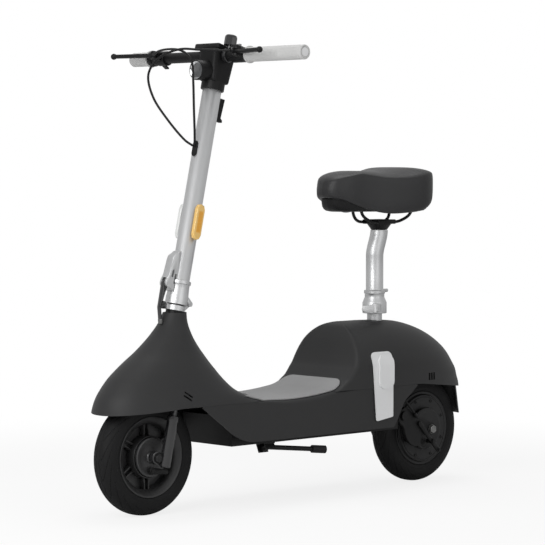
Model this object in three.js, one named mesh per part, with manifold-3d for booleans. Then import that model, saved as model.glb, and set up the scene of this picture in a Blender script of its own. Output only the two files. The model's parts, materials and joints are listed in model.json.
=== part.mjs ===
// A seated electric scooter: two wheels, a step-through body, a folding stem and a sprung saddle.
// Millimetres. +X is forward, +Y is the rider's left, +Z is up, and the ground is z = 0.
// Inside the file x = 0 is midway between the axles; the last lines slide the whole scooter so
// that x = 0 is the middle of its length.

import * as THREE from "three";
import { mergeVertices } from "three/addons/utils/BufferGeometryUtils.js";
import Module from "manifold-3d";

const wasm = await Module();
wasm.setup();

// Shared clearances
const gap = 0.3; // between pieces that touch
const running = 0.4; // round a shaft, pin or slider that moves
const overrun = 4; // how far a cutting tool passes the face it cuts
const toolReach = 60; // half size of a cutting tool that goes right through

// Wheels
const wheelbase = 848.6;
const tyreRadius = 127.5;
const wheelFacets = 32;
const tyre = {
  tread: 11, // half width of the flat running band
  bulge: 28,
  bulgeRadius: 104,
  shoulder: 23.5,
  shoulderRadius: 119,
  lip: 25.6,
  lipRadius: 89.5,
  toe: 15,
  carcass: 6,
};
const rim = {
  flange: 87.5,
  flangeIn: 23.5,
  flangeOut: 26,
  seat: 82,
  well: 74,
  wellIn: 70,
  drum: 46,
  drumLeft: 22,
  drumRight: 24,
  shell: 5,
  spokes: 6,
  spokeWidth: 15,
  spokeIn: 8,
  web: 5,
};
const motor = {
  cover: 80,
  coverOut: 31,
  hub: 30,
  hubOut: 36,
  boltCircle: 68,
  bolt: 3.6,
  boltProud: 1.8,
  bolts: 8,
};
const axle = { radius: 6, nut: 10.5, nutWidth: 8 };

// Steering head and fork, in the tilted frame: ahead of the steering axis, and up along it
const rakeDegrees = 12.83;
const axleLead = 19.4; // how far the front axle sits ahead of the steering axis
const fork = {
  legSpread: 52,
  legRadius: 12.5,
  legBottom: 108,
  legTop: 222,
  pocket: 128,
  stanchion: 9,
  stanchionFoot: 168,
  crownLow: 288.8,
  crownHigh: 304.6,
  crownHalf: 66,
  crownDeep: 16,
  lugIn: 36,
  lugOut: 47,
  lugRadius: 14,
};
const head = { steerer: 14, tube: 20, bottom: 314, neckRise: 2.4, cup: 22, cupHeight: 8, steererRise: 8.5 };

// Folding joint, latch and stem, in the tilted frame. Heights in the joint and the latch are over
// the joint's parting line.
const rake = THREE.MathUtils.degToRad(rakeDegrees);
const cowlTopHeight = 435;
const headTop = cowlTopHeight / Math.cos(rake) + head.neckRise;
const steererTop = headTop + head.steererRise;
const ringHeight = 12.1;
const partingGap = 1;
const foldLow = headTop + gap;
const foldLine = foldLow + ringHeight + partingGap;
const fold = {
  ring: 21,
  collar: 24.7,
  collarStep: 20,
  waist: 22.8,
  waistLow: 36,
  waistHigh: 46,
  lip: 24.8,
  upperTop: 54,
  pinBack: 32.5,
  pinUp: 8,
  pin: 3,
  pinHalf: 12,
  knuckle: 5.5,
  knuckleHalf: 6,
  earHalf: 11.5,
  lugFront: 30,
  lugHalf: 6,
  lugDeep: 12,
};
const latch = {
  half: 11,
  back: 18,
  ahead: 47.5,
  low: 32,
  height: 79,
  slotHalf: 5.4,
  slotBack: 35.4,
  slotTop: 53,
  pivotAhead: 42.5,
  pivotUp: 41,
  pin: 3,
  leverHalf: 4.8,
  leverEye: 6.5,
  leverLow: -48,
  leverLowBack: 33.4,
  leverThick: 4,
  kneeAhead: 46.3,
  kneeUp: -13,
  padBack: 31,
  padLow: -14.5,
  padHigh: -1,
  windowRadius: 2.6,
};
const bar = { up: 1018.6, lead: 4, radius: 12, wall: 2.5, half: 276 };
const stem = { radius: 21, wall: 2.6, barDrop: 38.6, hookDrop: 140.6, hookHalf: 5 };
const hook = { height: 52, out: 17, waist: 13, tip: 19, tipHigh: 5 };
const stemTop = bar.up - stem.barDrop;
const hookUp = bar.up - stem.hookDrop;
const port = { drop: 212, radius: 7.5, half: 10, back: 17.4, front: 23.4 };
const portUp = bar.up - port.drop;
const reflector = { rise: 157, length: 56, radius: 12, thick: 11 }; // rise over the joint's parting line

// Handlebar controls, in the tilted frame. What sits at the bar's height is placed from bar.up: the
// left-hand pieces stand in a row outward from the housing, the right-hand ones inward from the end.
const grip = { radius: 16, rightLength: 62.7, flange: 19, flangeWidth: 4, cap: 4.7 };
const barEnd = bar.half + grip.cap;
const housing = {
  deep: 58.6,
  over: 10.4,
  lowHalf: 26,
  highHalf: 31,
  lowBack: 27,
  highBack: 31,
  lowFront: 24,
  highFront: 36,
  neckDeep: 76.6,
  neck: 26,
};
const lamp = { ahead: 56, drop: 44.6, radius: 22, depth: 40, lens: 19, lensThick: 3, lensInset: 1.5 };
const display = { back: 26, front: 24, right: 56, left: 24, height: 13, slope: 3 };
const displayGap = 2;
const bell = { clampHalf: 5.5, clamp: 16, stalk: 5, rise: 22.4, height: 24, dome: 14, clearance: 2 };
const bellSide = housing.highHalf + bell.clearance + bell.clampHalf;
const perch = {
  radius: 16.5,
  leftGap: 14,
  leftWidth: 44,
  leftBack: 7,
  rightWidth: 27,
  rightBack: 12,
  bossIn: 10,
  bossHigh: 9,
  pivotAhead: 31.6,
  pivotBoss: 9,
  pin: 3,
};
const perchLeftFrom = bellSide + bell.clampHalf + perch.leftGap;
const perchLeftTo = perchLeftFrom + perch.leftWidth;
const perchLeftPivot = perchLeftTo - perch.leftBack;
const gripLeftFrom = perchLeftTo + grip.flangeWidth;
const gripRightFrom = barEnd - grip.rightLength;
const throttle = {
  radius: 17,
  width: 12,
  gap: 1,
  paddleGap: 0.6,
  paddleWidth: 13.2,
  paddleRadius: 15.5,
  tabIn: 12,
  tabOut: 36,
  tabThick: 4,
  tabDropDegrees: 24,
};
const throttleTo = gripRightFrom - throttle.gap;
const throttleFrom = throttleTo - throttle.width;
const paddleTo = throttleFrom - throttle.paddleGap;
const paddleFrom = paddleTo - throttle.paddleWidth;
const perchRightTo = paddleFrom - throttle.gap;
const perchRightFrom = perchRightTo - perch.rightWidth;
const perchRightPivot = perchRightTo - perch.rightBack;
const lever = {
  thick: 8,
  rootWidth: 7,
  tipWidth: 5,
  tipAhead: 65,
  leftReach: 109,
  rightReach: 101,
  ball: 7,
  droop: 8, // how much lower the tip lies than the pivot
  slotGap: 1,
};
const pod = { in: 0, width: 17, half: 12, high: 21.4 };
const button = { radius: 3.6, length: 8.5, proud: 3.5, firstIn: 4, secondIn: 13, travel: 2 };
const podTop = bar.up + pod.high;
const buttonTop = podTop + button.proud;
const buttonFoot = buttonTop - button.length;
const cordRadius = 2.6;

// Body
const bodyHalfWidth = 110;
const shellWall = 3;
const floorHeight = 233.5;
const humpHeight = 393;
const bellyHeight = 149;
const seamHeight = 244;
const archRise = 46; // from the seam to where the hump's upright sides start to round over
const archShoulder = seamHeight + archRise;
const archPower = 1.85;
const humpFootX = -11;
const humpLean = 155;
const humpMiddleX = -235;
const tailReach = 321;
const tailPower = 2.2;
const tailEdgeHeight = 221;
const archStartX = -322;
const cowlRimHeight = 237;
const cowlFront = 167;
const noseDip = 13; // how much lower the cowl's rim hangs at the nose than beside the wheel arch
const dipStartX = 400;
const dipLevel = 0.25; // the dip fades out over this share of the cowl's height
const cowlRear = 225;
const kinkX = 350;
const edgeRound = 10;
const floorFrontX = 196;
const floorFrontHeight = 236.4;
const frameRun = { railSide: 66, rail: 9, railUp: 190, frontX: 204, rearX: -256, barHalf: 9 };
const tray = { front: 240, rear: -285, half: 80, low: 140, high: 205, wall: 3 };
const battery = { front: 190, rear: -232, half: 54, high: 219 };
const controller = { front: -150, rear: -246, half: 42, low: 236.4, high: 292 };
const mat = { rear: -92, half: 98.5, thick: 2.6, lift: 0.9, footLift: 1.4, corner: 30, frontHeight: 249 };
const panel = {
  low: 168,
  rise: 6.4, // how much higher the lower edge ends at the rear
  high: 326,
  front: -181,
  frontTop: -168,
  rear: -235,
  thick: 3,
  corner: 12,
  footCorner: 3,
  gap: 0.6,
};
const cap = {
  low: 241,
  rise: 0,
  high: 320,
  front: -186,
  frontTop: -186,
  rear: -234,
  thick: 4.5,
  corner: 18,
  footCorner: 18,
  socketUp: 268,
};
const flap = { centreX: -507, radius: 44, low: 155, high: 231, slant: 13, half: 1.15, thick: 3, corner: 12 };
const stand = {
  x: 118,
  side: 60,
  up: 128,
  tiltDegrees: 24, // how far the pivot pin rises towards its outer end
  bracketFront: 134,
  bracketRear: 106,
  bracketHalf: 14,
  cheek: 3,
  pin: 4,
  legRadius: 5.5,
  legLength: 150,
  footRadius: 9,
  footLength: 34,
  eye: 8,
};

// Rear arms and brakes
const rearArm = {
  in: 50,
  out: 58,
  reach: 113,
  height: 57,
  boltX: -328,
  boltUp: 165.5,
  bolt: 6,
  boltHead: 11,
  boltHeadWidth: 6,
};
const brake = {
  plateGap: 0.6,
  plateThick: 7,
  rearPlate: 50,
  frontPlate: 43,
  cam: 5,
  armThick: 5,
  armRadius: 7,
  tipRadius: 5.5,
};

// Seat
const seatX = -289;
const seat = {
  tube: 17.3,
  tubeBore: 14.5,
  tubeLow: 205,
  tubeTop: 520,
  post: 20.5,
  postLow: 407,
  collar: 28.5,
  collarStep: 26,
  neck: 23,
  neckLow: 38,
  lip: 24.8,
  lipHigh: 8,
  collarTop: 461,
  boreTop: 536,
  bend: 545,
  top: 602,
  setback: 15,
  pegUp: 459,
  peg: 4,
  pegOut: 45,
  earIn: 2, // from the seat tube's face to the ear's inner face
};
const clampLever = { x: -256, side: 33, low: 411, high: 431, eye: 4.6, reach: 40, thick: 5.6 };
const saddle = {
  nose: -116,
  tail: -407,
  half: 111,
  low: 641,
  height: 112,
  hollow: 22, // how far the underside rises to its middle
  baseLow: 646,
  baseRise: 44,
  headLow: 602.4,
  headHigh: 620,
  headRadius: 19,
  headTopRadius: 28,
  headRim: 4,
};

// Derived places
const halfBase = wheelbase / 2;
const steeringGroundX = halfBase + tyreRadius * Math.tan(rake) - axleLead / Math.cos(rake);
const axleRise = tyreRadius * Math.cos(rake) + (steeringGroundX - halfBase) * Math.sin(rake);

// Colours, taken by eye from the photograph
const paint = {
  shell: { color: 0x3a3a3b, roughness: 0.55, metalness: 0 },
  black: { color: 0x1b1b1c, roughness: 0.5, metalness: 0.1 },
  rubber: { color: 0x242425, roughness: 0.85, metalness: 0 },
  cast: { color: 0x3c3d3f, roughness: 0.45, metalness: 0.6 },
  silver: { color: 0xb9bbbd, roughness: 0.35, metalness: 0.85 },
  steel: { color: 0xd8d9da, roughness: 0.2, metalness: 1 },
  grip: { color: 0xbcbbb9, roughness: 0.7, metalness: 0 },
  mat: { color: 0x929292, roughness: 0.85, metalness: 0 },
  panel: { color: 0xc4c4c4, roughness: 0.5, metalness: 0 },
  amber: { color: 0xe8a53a, roughness: 0.25, metalness: 0 },
  clear: { color: 0xe6eaec, roughness: 0.1, metalness: 0 },
  leather: { color: 0x2c2c2d, roughness: 0.6, metalness: 0 },
  pack: { color: 0x2b4a6b, roughness: 0.6, metalness: 0 },
};

// Groups: the scooter, and the tilted frame whose z axis is the steering axis
const scooter = new THREE.Group();
const steering = new THREE.Group();
steering.position.set(steeringGroundX, 0, 0);
steering.rotation.y = -rake;
scooter.add(steering);

// Adds one named sub-part to a group, without the crumbs that a cut can leave.
const crumb = 0.05;
function part(group, name, geometry, look) {
  const whole = solid(geometry);
  const [body] = whole.decompose().sort((a, b) => b.volume() - a.volume());
  if (whole.volume() - body.volume() > crumb) throw new Error(`${name} is in more than one piece`);
  const mesh = new THREE.Mesh(surface(body), new THREE.MeshStandardMaterial(paint[look]));
  mesh.name = name;
  group.add(mesh);
  return mesh;
}

// A geometry's closed surface as a solid.
function solid(geometry) {
  const bare = new THREE.BufferGeometry();
  bare.setAttribute("position", geometry.getAttribute("position"));
  if (geometry.index) bare.setIndex(geometry.index);
  const merged = mergeVertices(bare, 1e-4);
  const mesh = new wasm.Mesh({
    numProp: 3,
    vertProperties: new Float32Array(merged.attributes.position.array),
    triVerts: new Uint32Array(merged.index.array),
  });
  return new wasm.Manifold(mesh);
}

// A solid's surface as a geometry.
function surface(body) {
  const mesh = body.getMesh();
  const count = mesh.vertProperties.length / mesh.numProp;
  const places = new Float32Array(count * 3);
  for (let i = 0; i < count; i++) {
    places.set(mesh.vertProperties.subarray(i * mesh.numProp, i * mesh.numProp + 3), i * 3);
  }
  const geometry = new THREE.BufferGeometry();
  geometry.setAttribute("position", new THREE.BufferAttribute(places, 3));
  geometry.setIndex(new THREE.BufferAttribute(new Uint32Array(mesh.triVerts), 1));
  return geometry;
}

// Several geometries joined into one.
function join(...geometries) {
  return surface(geometries.map(solid).reduce((a, b) => a.add(b)));
}

// One geometry with others cut away.
function cut(geometry, ...tools) {
  return surface(tools.map(solid).reduce((a, b) => a.subtract(b), solid(geometry)));
}

// A box between two corners.
function block(x0, x1, y0, y1, z0, z1) {
  const box = new THREE.BoxGeometry(x1 - x0, y1 - y0, z1 - z0);
  return box.translate((x0 + x1) / 2, (y0 + y1) / 2, (z0 + z1) / 2);
}

// Turns a geometry made along +Y so that it runs from one point towards another.
function aim(geometry, from, to) {
  const start = new THREE.Vector3(...from);
  const along = new THREE.Vector3(...to).sub(start).normalize();
  const turn = new THREE.Quaternion().setFromUnitVectors(new THREE.Vector3(0, 1, 0), along);
  return geometry.applyQuaternion(turn).translate(start.x, start.y, start.z);
}

// Distance between two points given as arrays.
function span(from, to) {
  return new THREE.Vector3(...from).distanceTo(new THREE.Vector3(...to));
}

// A round bar from one point to another, which may taper.
function rod(from, to, radius, sides = 14, endRadius = radius) {
  const length = span(from, to);
  const bar = new THREE.CylinderGeometry(endRadius, radius, length, sides).translate(0, length / 2, 0);
  return aim(bar, from, to);
}

// A round bar with a bore right through.
function sleeve(from, to, radius, bore, sides = 20) {
  const length = span(from, to);
  const profile = [
    new THREE.Vector2(bore, 0),
    new THREE.Vector2(radius, 0),
    new THREE.Vector2(radius, length),
    new THREE.Vector2(bore, length),
    new THREE.Vector2(bore, 0),
  ];
  return aim(new THREE.LatheGeometry(profile, sides), from, to);
}

// A turned solid on the line from one point to another: profile rows are [radius, distance along].
function turned(rows, from, to, sides = 24) {
  const profile = rows.map(([radius, along]) => new THREE.Vector2(radius, along));
  return aim(new THREE.LatheGeometry(profile, sides), from, to);
}

// A flat plate from an outline in x and z, between two values of y.
function plate(points, y0, y1) {
  const shape = new THREE.Shape(points.map(([x, z]) => new THREE.Vector2(x, z)));
  const made = new THREE.ExtrudeGeometry(shape, { depth: y1 - y0, bevelEnabled: false });
  return made.rotateX(Math.PI / 2).translate(0, y1, 0);
}

// An outline with rounded ends in x and z: a slot shape from one centre to another.
function slotPoints(from, to, radius, endRadius = radius, steps = 8) {
  const angle = Math.atan2(to[1] - from[1], to[0] - from[0]);
  const points = [];
  for (let i = 0; i <= steps; i++) {
    const a = angle + Math.PI / 2 + (Math.PI * i) / steps;
    points.push([from[0] + radius * Math.cos(a), from[1] + radius * Math.sin(a)]);
  }
  for (let i = 0; i <= steps; i++) {
    const a = angle - Math.PI / 2 + (Math.PI * i) / steps;
    points.push([to[0] + endRadius * Math.cos(a), to[1] + endRadius * Math.sin(a)]);
  }
  return points;
}

// A tube of even thickness along a smooth curve through points.
function hose(points, radius, steps, sides = 8) {
  const path = new THREE.CatmullRomCurve3(points.map((p) => new THREE.Vector3(...p)), false, "centripetal");
  return sweep(path, radius, steps, sides);
}

// A round section carried along a curve.
function sweep(path, radius, steps, sides) {
  const section = new THREE.Shape();
  for (let i = 0; i < sides; i++) {
    const a = (2 * Math.PI * i) / sides;
    if (i === 0) section.moveTo(radius * Math.cos(a), radius * Math.sin(a));
    else section.lineTo(radius * Math.cos(a), radius * Math.sin(a));
  }
  section.closePath();
  return new THREE.ExtrudeGeometry(section, { steps, extrudePath: path, bevelEnabled: false });
}

// A sheet of even wall over a grid of points: pointAt(u, v) gives its outer face, u and v from 0 to 1.
// Faces look along dP/dv x dP/du, or the other way where flip is true. A ring closes on itself in v.
function skin(pointAt, rows, columns, wall, { ring = false, flip = false, level = "" } = {}) {
  const step = 1e-3;
  const outer = [];
  const inner = [];
  const across = ring ? columns : columns + 1;
  for (let i = 0; i <= rows; i++) {
    for (let j = 0; j < across; j++) {
      const u = i / rows;
      const v = j / columns;
      const here = pointAt(u, v);
      const normal = normalAt(pointAt, u, v, step, ring);
      if (flip) normal.negate();
      const rim = (level === "rows" && i % rows === 0) || (level === "columns" && j % columns === 0);
      const thick = rim ? levelled(normal, wall) : wall;
      outer.push(here);
      inner.push(here.clone().addScaledVector(normal, -thick));
    }
  }
  const faces = [];
  const offset = outer.length;
  const quad = (a, b, c, d) => faces.push(a, b, c, a, c, d);
  const order = (a, b, c, d) => (flip ? quad(d, c, b, a) : quad(a, b, c, d));
  const id = (i, j) => i * across + (j % across);
  for (let i = 0; i < rows; i++) {
    for (let j = 0; j < columns; j++) {
      order(id(i, j), id(i, j + 1), id(i + 1, j + 1), id(i + 1, j));
      order(offset + id(i + 1, j), offset + id(i + 1, j + 1), offset + id(i, j + 1), offset + id(i, j));
    }
  }
  for (let j = 0; j < columns; j++) {
    order(offset + id(0, j), offset + id(0, j + 1), id(0, j + 1), id(0, j));
    order(id(rows, j), id(rows, j + 1), offset + id(rows, j + 1), offset + id(rows, j));
  }
  if (!ring) {
    for (let i = 0; i < rows; i++) {
      order(id(i, 0), id(i + 1, 0), offset + id(i + 1, 0), offset + id(i, 0));
      const j = columns;
      order(offset + id(i, j), offset + id(i + 1, j), id(i + 1, j), id(i, j));
    }
  }
  const places = new Float32Array([...outer, ...inner].flatMap((p) => [p.x, p.y, p.z]));
  const geometry = new THREE.BufferGeometry();
  geometry.setAttribute("position", new THREE.BufferAttribute(places, 3));
  geometry.setIndex(faces);
  return geometry;
}

// Lays a direction flat for the end rows of a level rim, and gives the wall measured that way.
const steepest = 0.35;
function levelled(normal, wall) {
  normal.z = 0;
  const flat = normal.length();
  normal.normalize();
  return wall / Math.max(flat, steepest);
}

// The outward direction of a grid surface. On the middle plane it has no sideways part.
function normalAt(pointAt, u, v, step, ring) {
  const u0 = Math.max(0, u - step);
  const u1 = Math.min(1, u + step);
  const v0 = ring ? v - step : Math.max(0, v - step);
  const v1 = ring ? v + step : Math.min(1, v + step);
  const along = pointAt(u1, v).sub(pointAt(u0, v));
  const around = pointAt(u, v1).sub(pointAt(u, v0));
  const normal = around.cross(along);
  if (Math.abs(pointAt(u, v).y) < 1e-6) normal.y = 0;
  return normal.normalize();
}

// A value read between the rows of a table: rows are [place, value, ...], places rising.
function between(rows, place, column = 1) {
  let k = 0;
  while (k < rows.length - 2 && place > rows[k + 1][0]) k++;
  const [a, b] = [rows[k], rows[k + 1]];
  const t = Math.min(1, Math.max(0, (place - a[0]) / (b[0] - a[0])));
  const before = rows[Math.max(0, k - 1)];
  const after = rows[Math.min(rows.length - 1, k + 2)];
  const width = b[0] - a[0];
  const slopeA = k > 0 ? ((b[column] - before[column]) / (b[0] - before[0])) * width : b[column] - a[column];
  const slopeB = k < rows.length - 2
    ? ((after[column] - a[column]) / (after[0] - a[0])) * width
    : b[column] - a[column];
  const [t2, t3] = [t * t, t * t * t];
  return (2 * t3 - 3 * t2 + 1) * a[column] + (t3 - 2 * t2 + t) * slopeA
    + (3 * t2 - 2 * t3) * b[column] + (t3 - t2) * slopeB;
}

// Where the steering axis passes at a height over the ground
function steeringX(z) {
  return steeringGroundX - z * Math.tan(rake);
}

// Body forms

// The front cowl, level by level: height, reach ahead of the steering axis, reach behind it,
// half width, each a share of the cowl's own size, and the squareness of the rear half.
const cowlShares = [
  [0, 1, 1, 1, 8],
  [0.03, 0.998, 0.91, 0.985, 6.8],
  [0.066, 0.992, 0.844, 0.962, 5.6],
  [0.126, 0.97, 0.733, 0.922, 4.2],
  [0.187, 0.928, 0.671, 0.88, 3.4],
  [0.247, 0.885, 0.622, 0.838, 2.9],
  [0.308, 0.838, 0.578, 0.79, 2.5],
  [0.369, 0.766, 0.53, 0.744, 2.3],
  [0.429, 0.692, 0.482, 0.69, 2.1],
  [0.49, 0.611, 0.431, 0.632, 2],
  [0.545, 0.524, 0.38, 0.577, 2],
  [0.606, 0.446, 0.324, 0.518, 2],
  [0.672, 0.371, 0.268, 0.462, 2],
  [0.737, 0.3, 0.22, 0.408, 2],
  [0.793, 0.252, 0.185, 0.37, 2],
  [0.848, 0.21, 0.156, 0.32, 2],
  [0.929, 0.174, 0.129, 0.264, 2],
  [1, 0.156, 0.1156, 0.236, 2],
];

// A point on the cowl: level from 0 at the rim to 1 at the neck, angle round from straight ahead.
function cowlPoint(level, angle) {
  const z = cowlRimHeight + level * (cowlTopHeight - cowlRimHeight);
  const [c, s] = [Math.cos(angle), Math.sin(angle)];
  const reach = c >= 0 ? cowlFront * between(cowlShares, level, 1) : cowlRear * between(cowlShares, level, 2);
  const side = bodyHalfWidth * between(cowlShares, level, 3);
  const power = c >= 0 ? 2 : between(cowlShares, level, 4);
  const soften = (value) => Math.sign(value) * Math.abs(value) ** (2 / power);
  const x = steeringX(z) + reach * soften(c);
  const ahead = Math.max(0, x - dipStartX) / (steeringX(cowlRimHeight) + cowlFront - dipStartX);
  const dip = noseDip * Math.min(1, ahead) * Math.max(0, 1 - level / dipLevel) ** 2;
  return new THREE.Vector3(x, side * soften(s), z - dip);
}

// The cowl's foot behind the steering axis: x at a level, y out from the middle.
function cowlFootX(level, y) {
  const z = cowlRimHeight + level * (cowlTopHeight - cowlRimHeight);
  const side = bodyHalfWidth * between(cowlShares, level, 3);
  const power = between(cowlShares, level, 4);
  const share = (1 - Math.min(1, Math.abs(y) / side) ** power) ** (1 / power);
  return steeringX(z) - cowlRear * between(cowlShares, level, 2) * share;
}

// Half width of the body's skirt at a length.
const skirtFrontShare = 0.985;
function skirtHalfWidth(x) {
  const middle = steeringX(cowlRimHeight);
  if (x > middle) return bodyHalfWidth;
  const back = Math.min(1, (middle - x) / cowlRear);
  const power = cowlShares[0][4];
  return bodyHalfWidth * Math.max(skirtFrontShare, (1 - back ** power) ** (1 / power));
}

// The floor and the hump's front face in side view: length back from the hump's foot and height
// over the floor, as shares of the hump's lean and of its height over the floor.
const humpFrontShares = [
  [0, 0.034],
  [0.245, 0.066],
  [0.368, 0.105],
  [0.458, 0.16],
  [0.542, 0.216],
  [0.594, 0.273],
  [0.652, 0.342],
  [0.697, 0.398],
  [0.742, 0.511],
  [0.774, 0.63],
  [0.806, 0.762],
  [0.852, 0.875],
  [0.916, 0.956],
  [1.03, 1],
];
const humpFace = humpFrontShares.map(([back, up]) => [
  floorHeight + up * (humpHeight - floorHeight),
  humpFootX - back * humpLean,
]);

// The floor ahead of the hump's foot: height as a share of the rise to the cowl's foot.
const floorFrontShares = [[0, 0], [0.3, 0.01], [0.55, 0.1], [0.8, 0.75], [1, 1]];
const dipShare = 0.5;

// Height of the floor's face on the middle line.
function floorZ(x) {
  if (x > humpFootX) {
    const share = Math.min(1, (x - humpFootX) / (floorFrontX - humpFootX));
    const start = humpFace[0][0] - floorHeight;
    const dip = start * Math.max(0, 1 - share / dipShare) ** 2;
    return floorHeight + dip + between(floorFrontShares, share) * (floorFrontHeight - floorHeight);
  }
  let [low, high] = [humpFace[0][0], humpHeight];
  for (let i = 0; i < 40; i++) {
    const middle = (low + high) / 2;
    if (between(humpFace, middle) > x) low = middle;
    else high = middle;
  }
  return (low + high) / 2;
}

// The hump's roof line behind its middle: share of the tail's reach, height as a share of the
// hump over the tail's edge.
const roofShares = [
  [0, 1],
  [0.33, 0.971],
  [0.495, 0.901],
  [0.632, 0.802],
  [0.72, 0.709],
  [0.79, 0.616],
  [0.843, 0.529],
  [0.885, 0.436],
  [0.921, 0.349],
  [0.957, 0.262],
  [0.97, 0.174],
  [0.99, 0.087],
  [1, 0],
];

function roofZ(x) {
  const back = Math.max(0, humpMiddleX - x) / tailReach;
  return tailEdgeHeight + between(roofShares, back) * (humpHeight - tailEdgeHeight);
}

// How far back the hump reaches at a height, as a share of the tail's reach.
function roofBack(z) {
  let [low, high] = [0, 1];
  for (let i = 0; i < 40; i++) {
    const middle = (low + high) / 2;
    if (roofZ(humpMiddleX - middle * tailReach) > z) low = middle;
    else high = middle;
  }
  return (low + high) / 2;
}

// Half width of the hump at a height, before the tail draws it in.
function archHalfWidth(z) {
  const t = Math.min(1, Math.max(0, (z - archShoulder) / (humpHeight - archShoulder)));
  return bodyHalfWidth * (1 - t ** archPower) ** (1 / archPower);
}

// Half width of the hump at a length and a height.
function humpHalfWidth(x, z) {
  const back = Math.max(0, humpMiddleX - x) / tailReach;
  if (back <= 0) return archHalfWidth(z);
  const t = Math.min(1, back / Math.max(roofBack(z), back));
  return archHalfWidth(z) * (1 - t ** tailPower) ** (1 / tailPower);
}

// A point on the hump: u runs from the middle of its front face, over the crease at faceShare, to
// the tail; v runs up the right side from the seam, over the top and down the left side.
const faceShare = 0.1;
const shoulderShare = 0.4;
const footSpread = 1.3;
const bodyShare = 0.45;
function humpPoint(u, v) {
  const side = v < 0.5 ? -1 : 1;
  const climb = Math.min(1, 1 - Math.abs(2 * v - 1));
  const shoulder = (archShoulder - seamHeight) / (humpHeight - seamHeight);
  const turn = (Math.max(0, climb - shoulderShare) / (1 - shoulderShare)) * (Math.PI / 2);
  const over = shoulder + (1 - shoulder) * Math.sin(turn) ** (2 / archPower);
  const up = climb < shoulderShare ? shoulder * (climb / shoulderShare) ** footSpread : over;
  const level = seamHeight + up * (humpHeight - seamHeight);
  const faceX = between(humpFace, level);
  if (u <= faceShare) {
    const half = climb >= 1 ? 0 : archHalfWidth(level);
    return new THREE.Vector3(faceX, (side * half * u) / faceShare, level);
  }
  const t = (u - faceShare) / (1 - faceShare);
  const tail = Math.max(0, t - bodyShare) / (1 - bodyShare);
  const x = t < bodyShare
    ? faceX + ((humpMiddleX - faceX) * t) / bodyShare
    : humpMiddleX - tailReach * Math.sin((tail * Math.PI) / 2);
  const slopeStart = archStartX - humpHole;
  const slope = Math.max(0, (slopeStart - x) / (slopeStart - humpMiddleX + tailReach));
  const edge = seamHeight - slope * (seamHeight - tailEdgeHeight);
  const z = Math.min(edge + up * (roofZ(x) - edge), roofZ(x));
  const half = climb >= 1 || t >= 1 ? 0 : humpHalfWidth(x, z);
  return new THREE.Vector3(x, side * half, Math.max(z, tailEdgeHeight));
}

// The front cowl: nose, neck and leg shield in one moulding, open below and at the neck.
const cowlRings = 12;
const ringSpread = 1.5;
const cowlSides = 30;
const vent = { length: 23, high: 4, pitch: 8, x: 384, up: 261, tiltDegrees: 34 };
function frontCowl() {
  const point = (u, v) => cowlPoint(u ** ringSpread, 2 * Math.PI * v);
  const shell = skin(point, cowlRings, cowlSides, shellWall, { ring: true, level: "rows" });
  return cut(shell, ...cowlVents());
}

// Two slanted air slots on each flank of the cowl.
function cowlVents() {
  const slots = [];
  const tilt = THREE.MathUtils.degToRad(vent.tiltDegrees);
  for (const side of [-1, 1]) {
    for (const k of [-1 / 2, 1 / 2]) {
      const tool = new THREE.BoxGeometry(vent.length, bodyHalfWidth, vent.high);
      tool.rotateY(-tilt);
      const x = vent.x + k * vent.pitch * Math.sin(tilt);
      tool.translate(x, side * bodyHalfWidth, vent.up - k * vent.pitch * Math.cos(tilt));
      slots.push(tool);
    }
  }
  return slots;
}

// The hump over the rear wheel, with a hole for the seat tube and a vent on each flank.
const humpRows = 20;
const humpColumns = 22;
const humpHole = 19.5;
const tailVent = { x: -381, up: 258, length: 28, high: 18, deep: 60 };
function rearCowl() {
  const shell = skin(humpPoint, humpRows, humpColumns, shellWall, { level: "columns" });
  const hole = rod([seatX, 0, archShoulder], [seatX, 0, humpHeight + overrun], humpHole);
  const vents = [-1, 1].map((side) => {
    const tool = new THREE.BoxGeometry(tailVent.length, tailVent.deep, tailVent.high);
    return tool.translate(tailVent.x, side * bodyHalfWidth, tailVent.up);
  });
  return cut(shell, hole, ...vents);
}

// A side skirt below the seam, with the wheel arch behind and the raised front edge.
const archRun = 78;
const frontRun = 173;
const skirtSteps = 22;
const skirtRows = 5;
const wallShare = 0.4;
const beltBackShares = [[0, 1], [0.22, 0.85], [0.56, 0.62], [0.78, 0.3], [1, 0]];
const beltFrontShares = [[0, 0], [0.22, 0.03], [0.45, 0.2], [0.7, 0.56], [1, 1]];
function skirtBottom(x) {
  const top = skirtTop(x) - shellWall;
  if (x < archStartX + archRun) {
    return bellyHeight + (top - bellyHeight) * between(beltBackShares, (x - archStartX) / archRun);
  }
  if (x > kinkX - frontRun) {
    return bellyHeight + (top - bellyHeight) * between(beltFrontShares, (x - kinkX + frontRun) / frontRun);
  }
  return bellyHeight;
}

function skirtTop(x) {
  const cowlFoot = cowlRimHeight - gap;
  if (x >= floorFrontX) return cowlFoot;
  const ahead = Math.max(0, (x - humpFootX) / (floorFrontX - humpFootX)) ** 3;
  return Math.min(floorZ(x), seamHeight) * (1 - ahead) + floorFrontHeight * ahead - gap;
}

// The skirt's upper edge is rounded beside the floor only.
function roundShare(x) {
  const back = Math.min(1, Math.max(0, (x - humpFootX + bodyHalfWidth) / bodyHalfWidth));
  const ahead = Math.min(1, Math.max(0, (floorFrontX - x) / bodyHalfWidth));
  return Math.min(back, ahead);
}

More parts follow.
